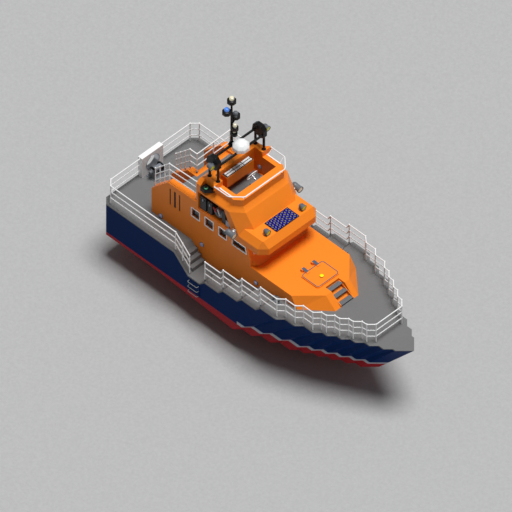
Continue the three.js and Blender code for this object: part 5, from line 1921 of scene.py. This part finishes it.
@dataclass(frozen=True)
class BrowPanel(SubAssembly):
    """The solar panel on the brow, with its edging.

    Args:
        panel: the panel's after and fore station, and half its breadth.
        middle: the height of the middle of the edging.
        edging: its width, depth and bend, in metres.
    """

    panel: Point = (27.4, 29.95, 2.4)
    middle: float = 15.07
    edging: Point = (0.02, 0.03, 0.006)

    def build(self) -> None:
        """Dresses the panel, and builds its edging."""
        self.dress(CELLS, "solar_panel")
        (aft, front, half), z = self.panel, self.middle
        corners = [(aft, -half, z), (front, -half, z), (front, half, z), (aft, half, z)]
        finished("panel_edging", outlined(corners, UPWARD, *self.edging), [BLACK], bevel=0.002)


@dataclass(frozen=True)
class Studio:
    """The pale floor, the soft daylight and the camera.

    Args:
        aim: the point at the middle of the picture, in metres.
        towards: the direction from the boat to the camera.
        width: how many metres the picture is wide.
        distance: how far off the camera stands, in metres.
        floor_half: half the floor's length and breadth in metres.
        floor_gap: how far the floor lies below the keel, in metres.
        sun_from: the direction that the sun comes from.
        sun_strength: the sun's strength.
        sun_angle: how soft it is, in degrees.
        sky: the strength of the light from all round.
        sky_colour: its colour, linear.
    """

    aim: Point = (-1.305, -0.040, 1.019)
    towards: Point = (0.5, -0.5, math.sqrt(0.5))
    width: float = 19.39
    distance: float = 150.0
    floor_half: float = 220.0
    floor_gap: float = 0.002
    sun_from: Point = (0.13, 0.08, 0.95)
    sun_strength: float = 3.25
    sun_angle: float = 28.0
    sky: float = 0.13
    sky_colour: Colour = (0.94, 0.97, 1.0)

    def build(self) -> None:
        """Builds the floor, the lights and the camera."""
        self.floor()
        self.light()
        self.camera()

    def floor(self) -> None:
        """Builds the flat floor just under the keel: a square grid of points at one height."""
        steps = np.linspace(-self.floor_half, self.floor_half, 41)
        x, y = np.meshgrid(steps, steps, indexing="ij")
        low = float(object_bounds()[0][2]) - self.floor_gap
        points = np.stack([x, y, np.full_like(x, low)], axis=-1)
        mesh = bpy.data.meshes.new("studio_floor")
        ids = np.arange(x.size).reshape(x.shape)
        quads = np.stack([ids[:-1, :-1], ids[1:, :-1], ids[1:, 1:], ids[:-1, 1:]], axis=-1).reshape(-1, 4)
        mesh.from_pydata(points.reshape(-1, 3).tolist(), [], quads.tolist())
        mesh.materials.append(FLOOR.material())
        floor = bpy.data.objects.new("studio_floor", mesh)
        bpy.context.scene.collection.objects.link(floor)
        floor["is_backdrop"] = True

    def light(self) -> None:
        """Builds the sun and the sky."""
        lamp = bpy.data.lights.new("overhead_daylight", "SUN")
        lamp.energy = self.sun_strength
        lamp.angle = math.radians(self.sun_angle)
        sun = bpy.data.objects.new("overhead_daylight", lamp)
        sun.rotation_mode = "QUATERNION"
        sun.rotation_quaternion = Vector(self.sun_from).to_track_quat("Z", "Y")
        bpy.context.scene.collection.objects.link(sun)
        world = bpy.data.worlds.new("studio_sky")
        world.use_nodes = True
        background = world.node_tree.nodes["Background"]
        background.inputs["Color"].default_value = (*self.sky_colour, 1.0)
        background.inputs["Strength"].default_value = self.sky
        bpy.context.scene.world = world
        bpy.context.scene.view_settings.view_transform = "Standard"

    def camera(self) -> None:
        """Builds the camera with parallel projection."""
        lens = bpy.data.cameras.new("studio_camera")
        lens.type = "ORTHO"
        lens.ortho_scale = self.width
        lens.clip_end = 4 * self.distance
        camera = bpy.data.objects.new("studio_camera", lens)
        back = Vector(self.towards).normalized()
        camera.location = Vector(self.aim) + back * self.distance
        camera.rotation_mode = "QUATERNION"
        camera.rotation_quaternion = (-back).to_track_quat("-Z", "Y")
        bpy.context.scene.collection.objects.link(camera)
        bpy.context.scene.camera = camera


def main() -> None:
    """Loads the frame, and builds every sub-assembly and the studio."""
    logging.basicConfig(level=logging.INFO, format="%(name)s: %(message)s")
    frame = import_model()
    nodes = frame["nodes"]
    for part in (Hull, RunningGear, GuardRails, SternWinch, Superstructure, ForeDeck, UpperHelm, MastArch, Lamps,
                 SideLockers, Wheelhouse, BrowPanel):
        LOG.info("building %s", part.__name__)
        part(nodes).build()
    Studio().build()


if __name__ == "__main__":
    main()
